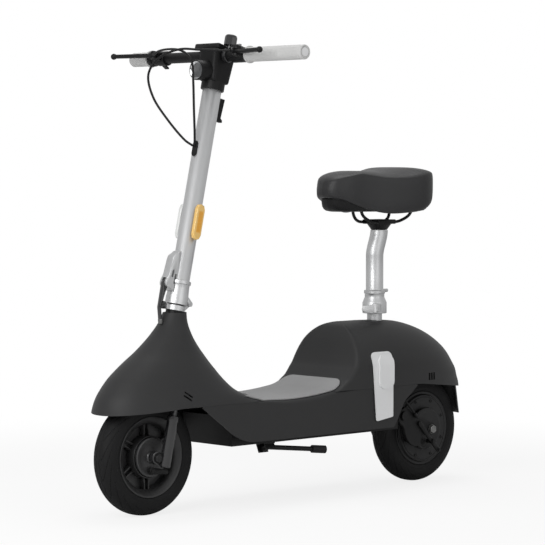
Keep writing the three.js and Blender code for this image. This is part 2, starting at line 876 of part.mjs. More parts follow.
function sideSkirt(side) {
  const point = (u, v) => {
    const x = archStartX + (kinkX - archStartX) * u;
    const bottom = skirtBottom(x);
    const top = skirtTop(x);
    const round = Math.min(edgeRound, top - bottom) * roundShare(x);
    const half = skirtHalfWidth(x);
    if (v < wallShare) {
      return new THREE.Vector3(x, side * half, bottom + (top - round - bottom) * (v / wallShare));
    }
    const turn = ((v - wallShare) / (1 - wallShare)) * (Math.PI / 2);
    const y = half - round * (1 - Math.cos(turn));
    const low = top - round - shellWall;
    return new THREE.Vector3(x, side * y, Math.max(low, top - round + round * Math.sin(turn)));
  };
  return skin(point, skirtSteps, skirtRows, shellWall, { flip: side < 0 });
}

// The floor plate between the skirts, bent to the floor line.
const deckSteps = 16;
function deckPlate() {
  const rear = between(humpFace, seamHeight);
  const point = (u, v) => {
    const x = rear + (floorFrontX - rear) * u;
    const half = skirtHalfWidth(x) - Math.max(edgeRound * roundShare(x), shellWall) - gap;
    return new THREE.Vector3(x, half * (2 * v - 1), floorZ(x) - gap);
  };
  return skin(point, deckSteps, 2, shellWall, { flip: true });
}

// The floor mat: a soft sheet over the floor, up the hump's foot and against the cowl's foot.
const matRows = 13;
const matColumns = 8;
const footSearch = 0.2;
function matBed(x, y) {
  let [low, high] = [0, footSearch];
  if (x <= cowlFootX(0, y)) return floorZ(x) + mat.lift;
  for (let i = 0; i < 30; i++) {
    const middle = (low + high) / 2;
    if (cowlFootX(middle, y) < x) low = middle;
    else high = middle;
  }
  return cowlRimHeight + low * (cowlTopHeight - cowlRimHeight) + mat.footLift;
}
function deckMat() {
  const point = (u, v) => {
    const y = mat.half * (2 * v - 1);
    const inner = mat.half - mat.corner;
    const past = Math.max(0, Math.abs(y) - inner);
    const rear = mat.rear + mat.corner - Math.sqrt(mat.corner ** 2 - past ** 2);
    const level = (mat.frontHeight - cowlRimHeight) / (cowlTopHeight - cowlRimHeight);
    const front = cowlFootX(level, y);
    const x = rear + (front - rear) * u;
    return new THREE.Vector3(x, y, matBed(x, y) + mat.thick);
  };
  const sheet = skin(point, matRows, matColumns, mat.thick, { flip: true });
  return cut(sheet, frontCowl(), rearCowl());
}

// How far a rounded corner draws an edge in, at a distance from the corner's end.
function cornerInset(away, radius) {
  return away < radius ? radius - Math.sqrt(radius ** 2 - (radius - away) ** 2) : 0;
}

// A plate that hugs the left flank, between two lengths and two heights, with rounded corners.
const flankRows = 12;
const flankColumns = 4;
function flankPlate(shape, lift) {
  const point = (u, v) => {
    const low = shape.low + shape.rise * v;
    const up = (1 - Math.cos(Math.PI * u)) / 2;
    const z = low + (shape.high - low) * up;
    const inset = Math.max(
      cornerInset(shape.high - z, shape.corner),
      cornerInset(z - low, shape.footCorner),
    );
    const front = shape.front + (shape.frontTop - shape.front) * up - inset;
    const x = front - (front - shape.rear - inset) * v;
    return new THREE.Vector3(x, archHalfWidth(z) + lift + shape.thick, z);
  };
  return skin(point, flankRows, flankColumns, shape.thick, { flip: false });
}

function portPanel() {
  const flat = flankPlate(panel, panel.gap);
  const x = (cap.front + cap.rear) / 2;
  const socket = rod(
    [x, bodyHalfWidth, cap.socketUp],
    [x, bodyHalfWidth + panel.thick + overrun, cap.socketUp],
    edgeRound,
  );
  return cut(flat, socket);
}

function portCap() {
  return flankPlate(cap, panel.gap + panel.thick + gap);
}

// The mudflap: a curved sheet hanging inside the tail's edge.
const flapRows = 5;
const flapColumns = 10;
const flapPower = 6; // how square the flap's lower corners are
function mudflap() {
  const point = (u, v) => {
    const side = 2 * v - 1;
    const edge = 1 - Math.sqrt(1 - Math.abs(side) ** flapPower);
    const low = flap.low + flap.corner * edge;
    const z = low + (flap.high - low) * u;
    const angle = side * flap.half;
    const slant = (flap.slant * (flap.high - z)) / (flap.high - flap.low);
    return new THREE.Vector3(
      flap.centreX - flap.radius * Math.cos(angle) - slant,
      flap.radius * Math.sin(angle),
      z,
    );
  };
  return skin(point, flapRows, flapColumns, flap.thick, { flip: true });
}

// Frame: head tube and bearing cup, spine, floor rails, seat tube and the plates for the rear arms.
function mainFrame() {
  const up = (w, u = 0) => tilted(u, 0, w);
  const half = battery.half - frameRun.barHalf;
  const rails = [-1, 1].map((side) => rod(
    [frameRun.frontX, side * frameRun.railSide, frameRun.railUp],
    [frameRun.rearX, side * frameRun.railSide, frameRun.railUp],
    frameRun.rail, 10,
  ));
  const across = tray.half - tray.wall - gap;
  const bars = [frameRun.frontX, frameRun.rearX].map((x) => block(
    x - frameRun.barHalf, x + frameRun.barHalf, -across, across,
    frameRun.railUp - frameRun.barHalf, frameRun.railUp + frameRun.barHalf,
  ));
  const spineTop = up(head.bottom + head.tube, 0);
  const spineBend = [frameRun.frontX + frameRun.barHalf, 0, frameRun.railUp + head.tube];
  const spine = [
    rod(spineTop, spineBend, head.steerer, 8),
    rod(spineBend, [frameRun.frontX, 0, frameRun.railUp], head.steerer, 8),
    new THREE.SphereGeometry(head.steerer, 8, 5).translate(...spineBend),
  ];
  const tube = rod(up(head.bottom - overrun), up(headTop), head.tube, 18);
  const cup = rod(up(head.bottom - head.cupHeight), up(head.bottom), head.cup, 18);
  const seatTube = rod([seatX, 0, seat.tubeLow], [seatX, 0, seat.tubeTop], seat.tube, 20);
  const seatFoot = block(
    seatX, frameRun.rearX, -frameRun.barHalf, frameRun.barHalf,
    seat.tubeLow - frameRun.rail, seat.tubeLow + seat.tube,
  );
  const post = block(
    frameRun.rearX - frameRun.barHalf, frameRun.rearX + frameRun.barHalf, -half, half,
    frameRun.railUp, controller.low - gap,
  );
  const shelf = block(
    frameRun.rearX, controller.front, -half, half, controller.low - gap - shellWall, controller.low - gap,
  );
  const sidePlates = [-1, 1].flatMap((side) => sideMount(side));
  const bored = cut(
    join(tube, cup, ...spine),
    rod(up(head.bottom - head.tube), up(headTop + head.tube), head.steerer + running, 18),
  );
  const [boreLow, boreHigh] = [seat.tubeLow - head.tube, seat.tubeTop + overrun];
  const seatBore = rod([seatX, 0, boreLow], [seatX, 0, boreHigh], seat.tubeBore, 20);
  return join(bored, ...rails, ...bars, cut(join(seatTube, seatFoot), seatBore), post, shelf, ...sidePlates);
}

// One frame plate with the bolt that carries a rear arm.
function sideMount(side) {
  const outer = rearArm.in - gap;
  const inner = outer - frameRun.rail;
  const outline = slotPoints(
    [frameRun.rearX, frameRun.railUp], [rearArm.boltX, rearArm.boltUp], frameRun.barHalf, rearArm.boltHead,
  );
  const [y0, y1] = side > 0 ? [inner, outer] : [-outer, -inner];
  const bolt = rod(
    [rearArm.boltX, side * inner, rearArm.boltUp],
    [rearArm.boltX, side * (rearArm.out + gap), rearArm.boltUp],
    rearArm.bolt, 14,
  );
  const boltHead = rod(
    [rearArm.boltX, side * (rearArm.out + gap), rearArm.boltUp],
    [rearArm.boltX, side * (rearArm.out + gap + rearArm.boltHeadWidth), rearArm.boltUp],
    rearArm.boltHead, 14,
  );
  return [plate(outline, y0, y1), bolt, boltHead];
}

// A point of the tilted frame in the scooter's own frame.
function tilted(u, y, w) {
  return [
    steeringGroundX + u * Math.cos(rake) - w * Math.sin(rake),
    y,
    u * Math.sin(rake) + w * Math.cos(rake),
  ];
}

// The open tray under the floor.
function underTray() {
  const outer = block(tray.rear, tray.front, -tray.half, tray.half, tray.low, tray.high);
  const inner = block(
    tray.rear + tray.wall, tray.front - tray.wall,
    -tray.half + tray.wall, tray.half - tray.wall,
    tray.low + tray.wall, tray.high + overrun,
  );
  const notches = [-1, 1].map((side) => {
    const middle = side * (rearArm.in - frameRun.rail / 2);
    return block(
      tray.rear - overrun, tray.rear + tray.wall + overrun, middle - frameRun.rail, middle + frameRun.rail,
      rearArm.boltUp - frameRun.barHalf, tray.high + overrun,
    );
  });
  return cut(outer, inner, ...notches);
}

function batteryPack() {
  const low = tray.low + tray.wall + gap;
  return block(battery.rear, battery.front, -battery.half, battery.half, low, battery.high);
}

function motorController() {
  return block(
    controller.rear, controller.front, -controller.half, controller.half, controller.low, controller.high,
  );
}

// Side stand: a bracket with two cheeks on a sloping pin, and the leg with its foot.
const standTilt = THREE.MathUtils.degToRad(stand.tiltDegrees);
const standFoldShares = [-0.957, 0.275, -0.0895]; // the folded leg's direction: ahead, left, up
const standFold = new THREE.Vector3(...standFoldShares).normalize();

// A point on the stand's pin, outward from its middle.
function onStandPin(along) {
  return [stand.x, stand.side + along * Math.cos(standTilt), stand.up + along * Math.sin(standTilt)];
}

// A box in the bracket's own frame, which leans out with the pin.
function leaningBlock(halfX, halfY, z0, z1) {
  const upright = block(-halfX, halfX, -halfY, halfY, z0, z1);
  return upright.rotateX(standTilt).translate(stand.x, stand.side, stand.up);
}

function standBracket() {
  const top = tray.low - gap;
  const halfX = (stand.bracketFront - stand.bracketRear) / 2;
  const reach = stand.bracketHalf + stand.eye;
  const body = leaningBlock(halfX, stand.bracketHalf, -stand.eye, reach);
  const slotHalf = stand.bracketHalf - stand.cheek;
  const slot = leaningBlock(halfX + overrun, slotHalf, -stand.eye - overrun, stand.eye + gap);
  const foot = block(
    stand.x - halfX, stand.x + halfX, stand.side - reach, stand.side + stand.bracketHalf,
    top - stand.cheek, top,
  );
  const above = block(
    stand.x - toolReach, stand.x + toolReach, stand.side - toolReach, stand.side + toolReach,
    top, top + toolReach,
  );
  const pin = rod(onStandPin(-stand.bracketHalf), onStandPin(stand.bracketHalf), stand.pin, 12);
  return join(cut(join(cut(body, above), foot), slot), pin);
}

function standLeg() {
  const pivot = new THREE.Vector3(stand.x, stand.side, stand.up);
  const at = (along) => pivot.clone().addScaledVector(standFold, along).toArray();
  const eyeHalf = stand.bracketHalf - stand.cheek - running;
  const eye = rod(onStandPin(-eyeHalf), onStandPin(eyeHalf), stand.eye, 14);
  const leg = rod(at(0), at(stand.legLength), stand.legRadius, 12);
  const foot = rod(at(stand.legLength - stand.footLength), at(stand.legLength + gap), stand.footRadius, 12);
  const hole = rod(onStandPin(-bodyHalfWidth), onStandPin(bodyHalfWidth), stand.pin + running, 12);
  return cut(join(eye, leg, foot), hole);
}

// Wheels, made about the y axis and then moved to their axles

function wheelLathe(rows, sides = wheelFacets) {
  const profile = rows.map(([radius, y]) => new THREE.Vector2(radius, y));
  return new THREE.LatheGeometry(profile, sides).rotateY(Math.PI / sides);
}

function tyreBody() {
  const half = [
    [rim.seat + gap, tyre.toe],
    [rim.seat + gap, rim.flangeIn - gap],
    [rim.flange + gap, rim.flangeIn - gap],
    [tyre.lipRadius, rim.flangeOut + gap],
    [tyre.bulgeRadius, tyre.bulge],
    [tyre.shoulderRadius, tyre.shoulder],
    [tyreRadius / Math.cos(Math.PI / wheelFacets), tyre.tread],
  ];
  const mirrored = half.map(([radius, y]) => [radius, -y]).reverse();
  const hollow = [
    [tyre.bulgeRadius, tyre.carcass - tyre.bulge],
    [tyreRadius - tyre.carcass, -tyre.tread],
    [tyreRadius - tyre.carcass, tyre.tread],
    [tyre.bulgeRadius, tyre.bulge - tyre.carcass],
  ];
  return wheelLathe([...half, ...mirrored, ...hollow, half[0]].reverse());
}

function rimRing() {
  const half = [
    [rim.well, rim.flangeIn],
    [rim.wellIn, rim.flangeOut],
    [rim.flange, rim.flangeOut],
    [rim.flange, rim.flangeIn],
    [rim.seat, rim.flangeIn],
  ];
  const other = half.map(([radius, y]) => [radius, -y]).reverse();
  return wheelLathe([...half.slice(1), ...other.slice(0, -1), half[1]].reverse());
}

function frontRim() {
  const drum = wheelLathe([
    [0, -rim.drumRight],
    [rim.drum, -rim.drumRight],
    [rim.drum, rim.drumLeft],
    [rim.drum - rim.shell, rim.drumLeft],
    [rim.drum - rim.shell, 0],
    [0, 0],
  ], 24);
  const spokes = [];
  for (let i = 0; i < rim.spokes; i++) {
    const angle = (2 * Math.PI * i) / rim.spokes;
    const spoke = new THREE.BoxGeometry(rim.well - rim.drum + rim.shell, rim.spokeIn * 2, rim.spokeWidth);
    spoke.translate((rim.well + rim.drum) / 2, 0, 0).rotateY(angle);
    spokes.push(spoke);
  }
  const [webIn, webOut] = [rim.drum - rim.shell / 2, (rim.well + rim.seat) / 2];
  const web = wheelLathe([
    [webIn, -rim.spokeIn],
    [webOut, -rim.spokeIn],
    [webOut, rim.web - rim.spokeIn],
    [webIn, rim.web - rim.spokeIn],
    [webIn, -rim.spokeIn],
  ]);
  const bore = rod([0, -overrun - rim.drumRight, 0], [0, overrun, 0], axle.radius + running);
  return cut(join(rimRing(), drum, web, ...spokes), bore);
}

function rearHub() {
  const side = [
    [0, motor.hubOut],
    [motor.hub, motor.hubOut],
    [motor.hub, motor.coverOut],
    [motor.cover, motor.coverOut],
    [motor.cover, rim.flangeOut],
    [rim.flange, rim.flangeOut],
    [rim.flange, rim.flangeIn],
    [rim.seat, rim.flangeIn],
  ];
  const other = side.map(([radius, y]) => [radius, -y]).reverse();
  const body = wheelLathe([...side, ...other].reverse());
  const bolts = [];
  for (let i = 0; i < motor.bolts; i++) {
    const angle = (2 * Math.PI * (i + 1 / 2)) / motor.bolts;
    const x = motor.boltCircle * Math.cos(angle);
    const z = motor.boltCircle * Math.sin(angle);
    const [y0, y1] = [motor.coverOut - overrun, motor.coverOut + motor.boltProud];
    bolts.push(rod([x, y0, z], [x, y1, z], motor.bolt, 6));
  }
  const bore = rod([0, -bodyHalfWidth, 0], [0, bodyHalfWidth, 0], axle.radius + running);
  return cut(join(body, ...bolts), bore);
}

// Rear axle with its nuts.
function rearAxle() {
  const end = rearArm.out + gap + axle.nutWidth;
  const shaft = rod([0, -end, 0], [0, end, 0], axle.radius, 14);
  const nuts = [-1, 1].map((side) => rod(
    [0, side * (rearArm.out + gap), 0], [0, side * (end - axle.radius / 2), 0], axle.nut, 6,
  ));
  return join(shaft, ...nuts).translate(-halfBase, 0, tyreRadius);
}

// A hooked arm from the frame bolt to the rear axle. Its outline runs round the axle: shares of its
// reach ahead of the axle and of its height over it.
const armShares = [
  [0.85, 0.965], [0.743, 1], [0.442, 0.596], [0.142, 0.316], [0.035, 0.298], [-0.08, 0.246],
  [-0.142, 0.07], [-0.133, -0.123], [-0.062, -0.246], [0.035, -0.281], [0.159, -0.211], [0.257, -0.246],
  [0.319, -0.386], [0.336, -0.596], [0.381, -0.649], [0.531, -0.632], [0.673, -0.474], [0.779, -0.175],
  [0.841, 0.175], [0.956, 0.386], [1, 0.596], [0.973, 0.842],
];
function rearArmPlate(side) {
  const outline = armShares.map(([ahead, up]) => [
    ahead * rearArm.reach - halfBase, up * rearArm.height + tyreRadius,
  ]);
  const [y0, y1] = side > 0 ? [rearArm.in, rearArm.out] : [-rearArm.out, -rearArm.in];
  const holes = [[-halfBase, tyreRadius, axle.radius], [rearArm.boltX, rearArm.boltUp, rearArm.bolt]];
  return cut(plate(outline, y0, y1), ...holes.map(([x, z, radius]) => rod(
    [x, y0 - overrun, z], [x, y1 + overrun, z], radius + gap, 14,
  )));
}

// Drum brake backing plates, fixed round the axles.
function rearDrumPlate() {
  const low = motor.hubOut + brake.plateGap;
  const disc = sleeve([0, low, 0], [0, low + brake.plateThick, 0], brake.rearPlate, axle.radius + gap, 28);
  return disc.translate(-halfBase, 0, tyreRadius);
}

function frontDrumPlate() {
  const low = rim.drumLeft + brake.plateGap;
  const disc = sleeve([0, low, 0], [0, low + brake.plateThick, 0], brake.frontPlate, axle.radius + gap, 28);
  return disc.translate(axleLead, 0, axleRise);
}

// Brake arms: the cam's shaft with the lever that the cable pulls.
const rearCam = { ahead: 0.3, down: 29.5, back: 21, drop: 51.5, front: 44, rise: 16.5, in: 44.4, boss: 6.4 };
function rearBrakeArm() {
  const at = (x, z) => [x - halfBase, tyreRadius + z];
  const low = at(-rearCam.back, -rearCam.drop);
  const high = at(rearCam.front, rearCam.rise);
  const [x, z] = at(rearCam.ahead, -rearCam.down);
  const y0 = rearArm.out + 2 * gap;
  const blade = plate(slotPoints(low, high, brake.tipRadius, brake.tipRadius, 6), y0, y0 + brake.armThick);
  const boss = rod([x, y0, z], [x, y0 + rearCam.boss, z], brake.armRadius, 12);
  const shaft = rod([x, rearCam.in, z], [x, y0 + gap, z], brake.cam, 12);
  return join(blade, boss, shaft);
}

const frontCam = { ahead: -2, down: 29, reach: 40, rise: 4, armLow: 30.4 };
function frontBrakeArm() {
  const cam = [axleLead + frontCam.ahead, axleRise - frontCam.down];
  const tip = [cam[0] - frontCam.reach, cam[1] + frontCam.rise];
  const outline = slotPoints(cam, tip, brake.armRadius, brake.tipRadius, 6);
  return plate(outline, frontCam.armLow, frontCam.armLow + brake.armThick);
}

// The rear brake's cable from the hump to its arm.
const rearCordRoute = [[-300, 46, 236], [-316, 58, 212], [-334, 63, 196], [-352, 63, 178], [-372, 62, 158]];
function rearCable() {
  return hose(rearCordRoute, cordRadius, 10);
}

// Fork: crown with stanchions, and the steerer up to the folding joint.
function forkCrown() {
  const crown = block(
    -fork.crownDeep, fork.crownDeep, -fork.crownHalf, fork.crownHalf, fork.crownLow, fork.crownHigh,
  );
  const legs = [-1, 1].map((side) => rod(
    [0, side * fork.legSpread, fork.stanchionFoot], [0, side * fork.legSpread, fork.crownHigh - gap],
    fork.stanchion, 16,
  ));
  const steerer = rod([0, 0, fork.crownLow + gap], [0, 0, steererTop], head.steerer, 20);
  return join(crown, ...legs, steerer);
}

// Fork lowers: two sliding legs with their lugs, joined by the axle.
function forkLowers() {
  const legs = [-1, 1].map((side) => {
    const rows = [
      [0, 0],
      [fork.legRadius - fork.stanchion / 2, 0],
      [fork.legRadius, fork.stanchion / 2],
      [fork.legRadius, fork.legTop - fork.legBottom],
      [fork.stanchion + running, fork.legTop - fork.legBottom],
      [fork.stanchion + running, fork.pocket - fork.legBottom],
      [0, fork.pocket - fork.legBottom],
    ];
    const from = [0, side * fork.legSpread, fork.legBottom];
    return turned(rows, from, [0, side * fork.legSpread, fork.legTop], 16);
  });
  const pockets = [-1, 1].map((side) => rod(
    [0, side * fork.legSpread, fork.pocket], [0, side * fork.legSpread, fork.legTop + overrun],
    fork.stanchion + running, 16,
  ));
  const lugs = [-1, 1].map((side) => {
    const [y0, y1] = side > 0 ? [fork.lugIn, fork.lugOut] : [-fork.lugOut, -fork.lugIn];
    return plate(slotPoints([0, axleRise], [axleLead, axleRise], fork.legRadius, fork.lugRadius), y0, y1);
  });
  const end = fork.lugOut + axle.nutWidth;
  const shaft = rod([axleLead, -end, axleRise], [axleLead, end, axleRise], axle.radius, 14);
  const nuts = [-1, 1].map((side) => rod(
    [axleLead, side * fork.lugOut, axleRise], [axleLead, side * (end - axle.radius / 2), axleRise],
    axle.nut, 6,
  ));
  return join(cut(join(...legs, ...lugs), ...pockets), shaft, ...nuts);
}

// Folding joint's lower half: the bright ring clamped on the steerer over the cowl's neck, with the
// hinge knuckle and pin behind and the catch in front.
const foldPin = [-fold.pinBack, foldLine + fold.pinUp];
function stemBase() {
  const pocketTop = steererTop + gap - foldLow;
  const rows = [
    [0, ringHeight],
    [0, pocketTop],
    [head.steerer + gap, pocketTop],
    [head.steerer + gap, 0],
    [fold.ring, 0],
    [fold.ring, ringHeight],
    [0, ringHeight],
  ];
  const ringTop = foldLow + ringHeight;
  const body = turned(rows, [0, 0, foldLow], [0, 0, ringTop]);
  const root = [-head.steerer - fold.pin, foldLow + fold.knuckle + gap];
  const knuckle = plate(
    slotPoints(root, foldPin, fold.knuckle, fold.knuckle, 8), -fold.knuckleHalf, fold.knuckleHalf,
  );
  const [pinX, pinUp] = foldPin;
  const pin = rod([pinX, -fold.pinHalf, pinUp], [pinX, fold.pinHalf, pinUp], fold.pin, 12);
  const core = rod([0, 0, foldLow - overrun], [0, 0, steererTop + gap], head.steerer + gap, 18);
  const above = rod([0, 0, ringTop], [0, 0, foldLine + fold.upperTop], fold.ring, 24);
  const lug = block(
    head.steerer + fold.pin, fold.lugFront, -fold.lugHalf, fold.lugHalf,
    ringTop - fold.lugDeep, ringTop - gap,
  );
  return join(body, cut(join(knuckle, pin), core, above), lug);
}

// The stem: upper half of the joint with its ears, the long tube, and the bag hook.
function stemTube() {
  const bore = stem.radius - stem.wall;
  const height = stemTop - foldLine;
  const rows = [
    [bore, 0],
    [fold.collar, 0],
    [fold.collar, fold.collarStep],
    [fold.waist, fold.waistLow],
    [fold.waist, fold.waistHigh],
    [fold.lip, fold.waistHigh],
    [fold.lip, fold.upperTop],
    [stem.radius, fold.upperTop],
    [stem.radius, height],
    [bore, height],
    [bore, 0],
  ];
  const tube = turned(rows, [0, 0, foldLine], [0, 0, stemTop], 24);
  const [pinX, pinUp] = foldPin;
  const ears = [-1, 1].map((side) => {
    const inner = fold.knuckleHalf + running;
    const [y0, y1] = side > 0 ? [inner, fold.earHalf] : [-fold.earHalf, -inner];
    const root = [-stem.radius, foldLine + fold.collarStep];
    return plate(slotPoints(foldPin, root, fold.knuckle, fold.pin, 8), y0, y1);
  });
  const pinHole = rod([pinX, -toolReach, pinUp], [pinX, toolReach, pinUp], fold.pin + running, 12);
  const core = rod([0, 0, foldLow], [0, 0, foldLine + fold.upperTop], stem.radius - stem.wall / 2, 24);
  const notch = block(
    pinX, -stem.radius + 2 * stem.wall, -fold.knuckleHalf - running, fold.knuckleHalf + running,
    foldLow, pinUp + fold.knuckle + running,
  );
  const bagHook = plate([
    [-stem.radius + stem.wall / 2, hookUp],
    [-stem.radius + stem.wall / 2, hookUp + hook.height],
    [-stem.radius - hook.out, hookUp + hook.height],
    [-stem.radius - hook.waist, hookUp + 2 * hook.tipHigh],
    [-stem.radius - hook.tip, hookUp + hook.tipHigh],
    [-stem.radius - hook.tip, hookUp],
  ], -stem.hookHalf, stem.hookHalf);
  const earSet = cut(join(...ears), pinHole, core);
  return cut(join(tube, earSet, bagHook), portForm(0, toolReach, gap), notch);
}

// Latch: the body on the stem, and the long lever that hangs over the cowl's neck.
const latchOutlineShares = [
  [0, 0], [0.542, 0], [0.881, 0.025], [1, 0.101], [0.949, 0.228], [0.814, 0.38],
  [0.746, 0.646], [0.661, 0.861], [0.407, 0.962], [0, 1],
];
const windowShares = [[[0.203, 0.152], [0.203, 0.38]], [[0.508, 0.329], [0.475, 0.481]]];

// A point of the latch's side view, from shares of its depth and height.
function latchPoint([along, up]) {
  return [latch.back + along * (latch.ahead - latch.back), foldLine + latch.low + up * latch.height];
}

function latchBody() {
  const body = plate(latchOutlineShares.map(latchPoint), -latch.half, latch.half);
  const slot = block(
    latch.slotBack, latch.slotBack + toolReach, -latch.slotHalf, latch.slotHalf,
    foldLow, foldLine + latch.slotTop,
  );
  const holes = windowShares.map(([low, high]) => plate(
    slotPoints(latchPoint(low), latchPoint(high), latch.windowRadius, latch.windowRadius, 4),
    -toolReach, toolReach,
  ));
  const lipTop = foldLine + fold.upperTop;
  const tube = rod([0, 0, lipTop], [0, 0, stemTop], stem.radius + gap / 2, 24);
  const collar = rod([0, 0, foldLow], [0, 0, lipTop + gap], fold.lip + gap, 24);
  const up = foldLine + latch.pivotUp;
  const pin = rod([latch.pivotAhead, -latch.half, up], [latch.pivotAhead, latch.half, up], latch.pin, 12);
  return join(cut(body, slot, ...holes, tube, collar), pin);
}

function latchLever() {
  const eye = [latch.pivotAhead, foldLine + latch.pivotUp];
  const thin = latch.leverThick / 2;
  const low = [latch.leverLowBack + thin, foldLine + latch.leverLow + thin];
  const knee = [latch.kneeAhead, foldLine + latch.kneeUp];
  const pieces = [
    plate(slotPoints(eye, knee, latch.leverEye, thin, 8), -latch.leverHalf, latch.leverHalf),
    plate(slotPoints(knee, low, thin, thin, 6), -latch.leverHalf, latch.leverHalf),
    block(
      latch.padBack, knee[0], -latch.leverHalf, latch.leverHalf,
      foldLine + latch.padLow, foldLine + latch.padHigh,
    ),
  ];
  const hole = rod([eye[0], -toolReach, eye[1]], [eye[0], toolReach, eye[1]], latch.pin + running, 12);
  return cut(join(...pieces), hole);
}

function reflectorPlate(side) {
  const y = stem.radius + gap;
  const [y0, y1] = side > 0 ? [y, y + reflector.thick] : [-y - reflector.thick, -y];
  const low = foldLine + reflector.rise;
  const ends = [[0, low], [0, low + reflector.length]];
  return plate(slotPoints(...ends, reflector.radius, reflector.radius, 6), y0, y1);
}

function cablePort() {
  return portForm(port.back, port.front, 0);
}

// The port's upright slot shape between two distances ahead, grown by a clearance.
function portForm(back, front, grow) {
  const radius = port.radius + grow;
  const ends = [portUp - port.half, portUp + port.half].map((up) => rod(
    [back, 0, up], [front, 0, up], radius, 16,
  ));
  const middle = block(back, front, -radius, radius, portUp - port.half, portUp + port.half);
  return join(...ends, middle);
}

// Handlebar, grips, and everything clamped on it
function handlebar() {
  const ends = [[bar.lead, -bar.half, bar.up], [bar.lead, bar.half, bar.up]];
  return sleeve(...ends, bar.radius, bar.radius - bar.wall);
}

function gripSleeve(side, from) {
  const depth = barEnd - from;
  const rows = [
    [bar.radius + gap, 0],
    [grip.flange, 0],
    [grip.flange, grip.flangeWidth],
    [grip.radius, grip.flangeWidth],
    [grip.radius, depth - grip.flangeWidth / 2],
    [grip.radius - grip.flangeWidth / 2, depth],
    [0, depth],
    [0, bar.half - from + gap],
    [bar.radius + gap, bar.half - from + gap],
    [bar.radius + gap, 0],
  ];
  return turned(rows, [bar.lead, side * from, bar.up], [bar.lead, side * barEnd, bar.up], 24);
}

// A box whose top and bottom faces differ: half widths and reaches at both heights.
function taperedBlock(box) {
  const made = new THREE.BoxGeometry(1, 1, 1);
  const places = made.getAttribute("position");
  for (let i = 0; i < places.count; i++) {
    const top = places.getZ(i) > 0;
    const front = places.getX(i) > 0;
    const x = front ? (top ? box.highFront : box.lowFront) : -(top ? box.highBack : box.lowBack);
    const y = Math.sign(places.getY(i)) * (top ? box.highHalf : box.lowHalf);
    places.setXYZ(i, x, y, top ? bar.up + box.over : bar.up - box.deep);
  }
  return made;
}

// Black housing under the handlebar, with the round neck below and the lamp in front.
function lampAxis(along) {
  return [lamp.ahead + along * Math.cos(rake), 0, bar.up - lamp.drop - along * Math.sin(rake)];
}
function headHousing() {
  const neckLow = bar.up - housing.neckDeep;
  const neck = rod([0, 0, neckLow], [0, 0, bar.up - housing.deep + overrun], housing.neck, 28);
  const lampBody = rod(lampAxis(-lamp.depth), lampAxis(0), lamp.radius, 28);
  const recessBack = lampAxis(-lamp.lensThick - lamp.lensInset - gap);
  const recess = rod(recessBack, lampAxis(overrun), lamp.lens + gap, 28);
  const barBore = rod(
    [bar.lead, -toolReach, bar.up], [bar.lead, toolReach, bar.up], bar.radius + gap, 20,
  );
  const stemBore = rod([0, 0, neckLow - overrun], [0, 0, stemTop + gap], stem.radius + gap, 32);
  return cut(join(taperedBlock(housing), neck, lampBody), recess, barBore, stemBore);
}

function lampLens() {
  return rod(lampAxis(-lamp.lensThick - lamp.lensInset), lampAxis(-lamp.lensInset), lamp.lens, 28);
}

function displayCase() {
  const low = bar.up + housing.over + displayGap;
  const high = low + display.height;
  const made = block(-display.back, display.front, -display.right, display.left, low, high);
  const places = made.getAttribute("position");
  for (let i = 0; i < places.count; i++) {
    if (places.getZ(i) > low && places.getX(i) < 0) places.setZ(i, high - display.slope);
  }
  return made;
}

// A clamp round the bar with the boss that carries a brake lever.
function perchBody(side, from, to, pivot) {
  const clamp = sleeve(
    [bar.lead, side * from, bar.up], [bar.lead, side * to, bar.up], perch.radius, bar.radius + gap,
  );
  const bossLow = bar.up - perch.bossHigh;
  const bossHigh = bar.up + perch.bossHigh;
  const edges = [side * (pivot - perch.pivotBoss), side * (pivot + perch.pivotBoss - gap)];
  const arm = block(
    perch.bossIn + bar.lead, perch.pivotAhead, Math.min(...edges), Math.max(...edges), bossLow, bossHigh,
  );
  const eye = rod(
    [perch.pivotAhead, side * pivot, bossLow], [perch.pivotAhead, side * pivot, bossHigh],
    perch.pivotBoss, 16,
  );
  const slot = block(
    perch.pivotAhead - perch.pivotBoss - running, perch.pivotAhead + 2 * perch.pivotBoss,
    side * pivot - 2 * perch.pivotBoss, side * pivot + 2 * perch.pivotBoss,
    bar.up - lever.thick / 2 - lever.slotGap, bar.up + lever.thick / 2 + lever.slotGap,
  );
  const pin = rod(
    [perch.pivotAhead, side * pivot, bossLow], [perch.pivotAhead, side * pivot, bossHigh], perch.pin, 12,
  );
  const bore = rod(
    [bar.lead, side * from, bar.up], [bar.lead, side * (to + overrun), bar.up], bar.radius + gap, 24,
  );
  return join(cut(join(arm, eye), slot, bore), clamp, pin);
}

function leftControl() {
  const body = perchBody(1, perchLeftFrom, perchLeftTo, perchLeftPivot);
  const podFrom = perchLeftFrom + pod.in;
  const top = block(bar.lead - pod.half, bar.lead + pod.half, podFrom, podFrom + pod.width, bar.up, podTop);
  const sockets = [button.firstIn, button.secondIn].map((along) => rod(
    [bar.lead, perchLeftFrom + along, buttonFoot - button.travel - gap],
    [bar.lead, perchLeftFrom + along, podTop + overrun], button.radius + gap, 12,
  ));
  const bore = rod([bar.lead, 0, bar.up], [bar.lead, bodyHalfWidth, bar.up], bar.radius + gap, 24);
  return cut(join(body, top), bore, ...sockets);
}

function podButton(along) {
  const y = perchLeftFrom + along;
  return rod([bar.lead, y, buttonFoot], [bar.lead, y, buttonTop], button.radius, 12);
}

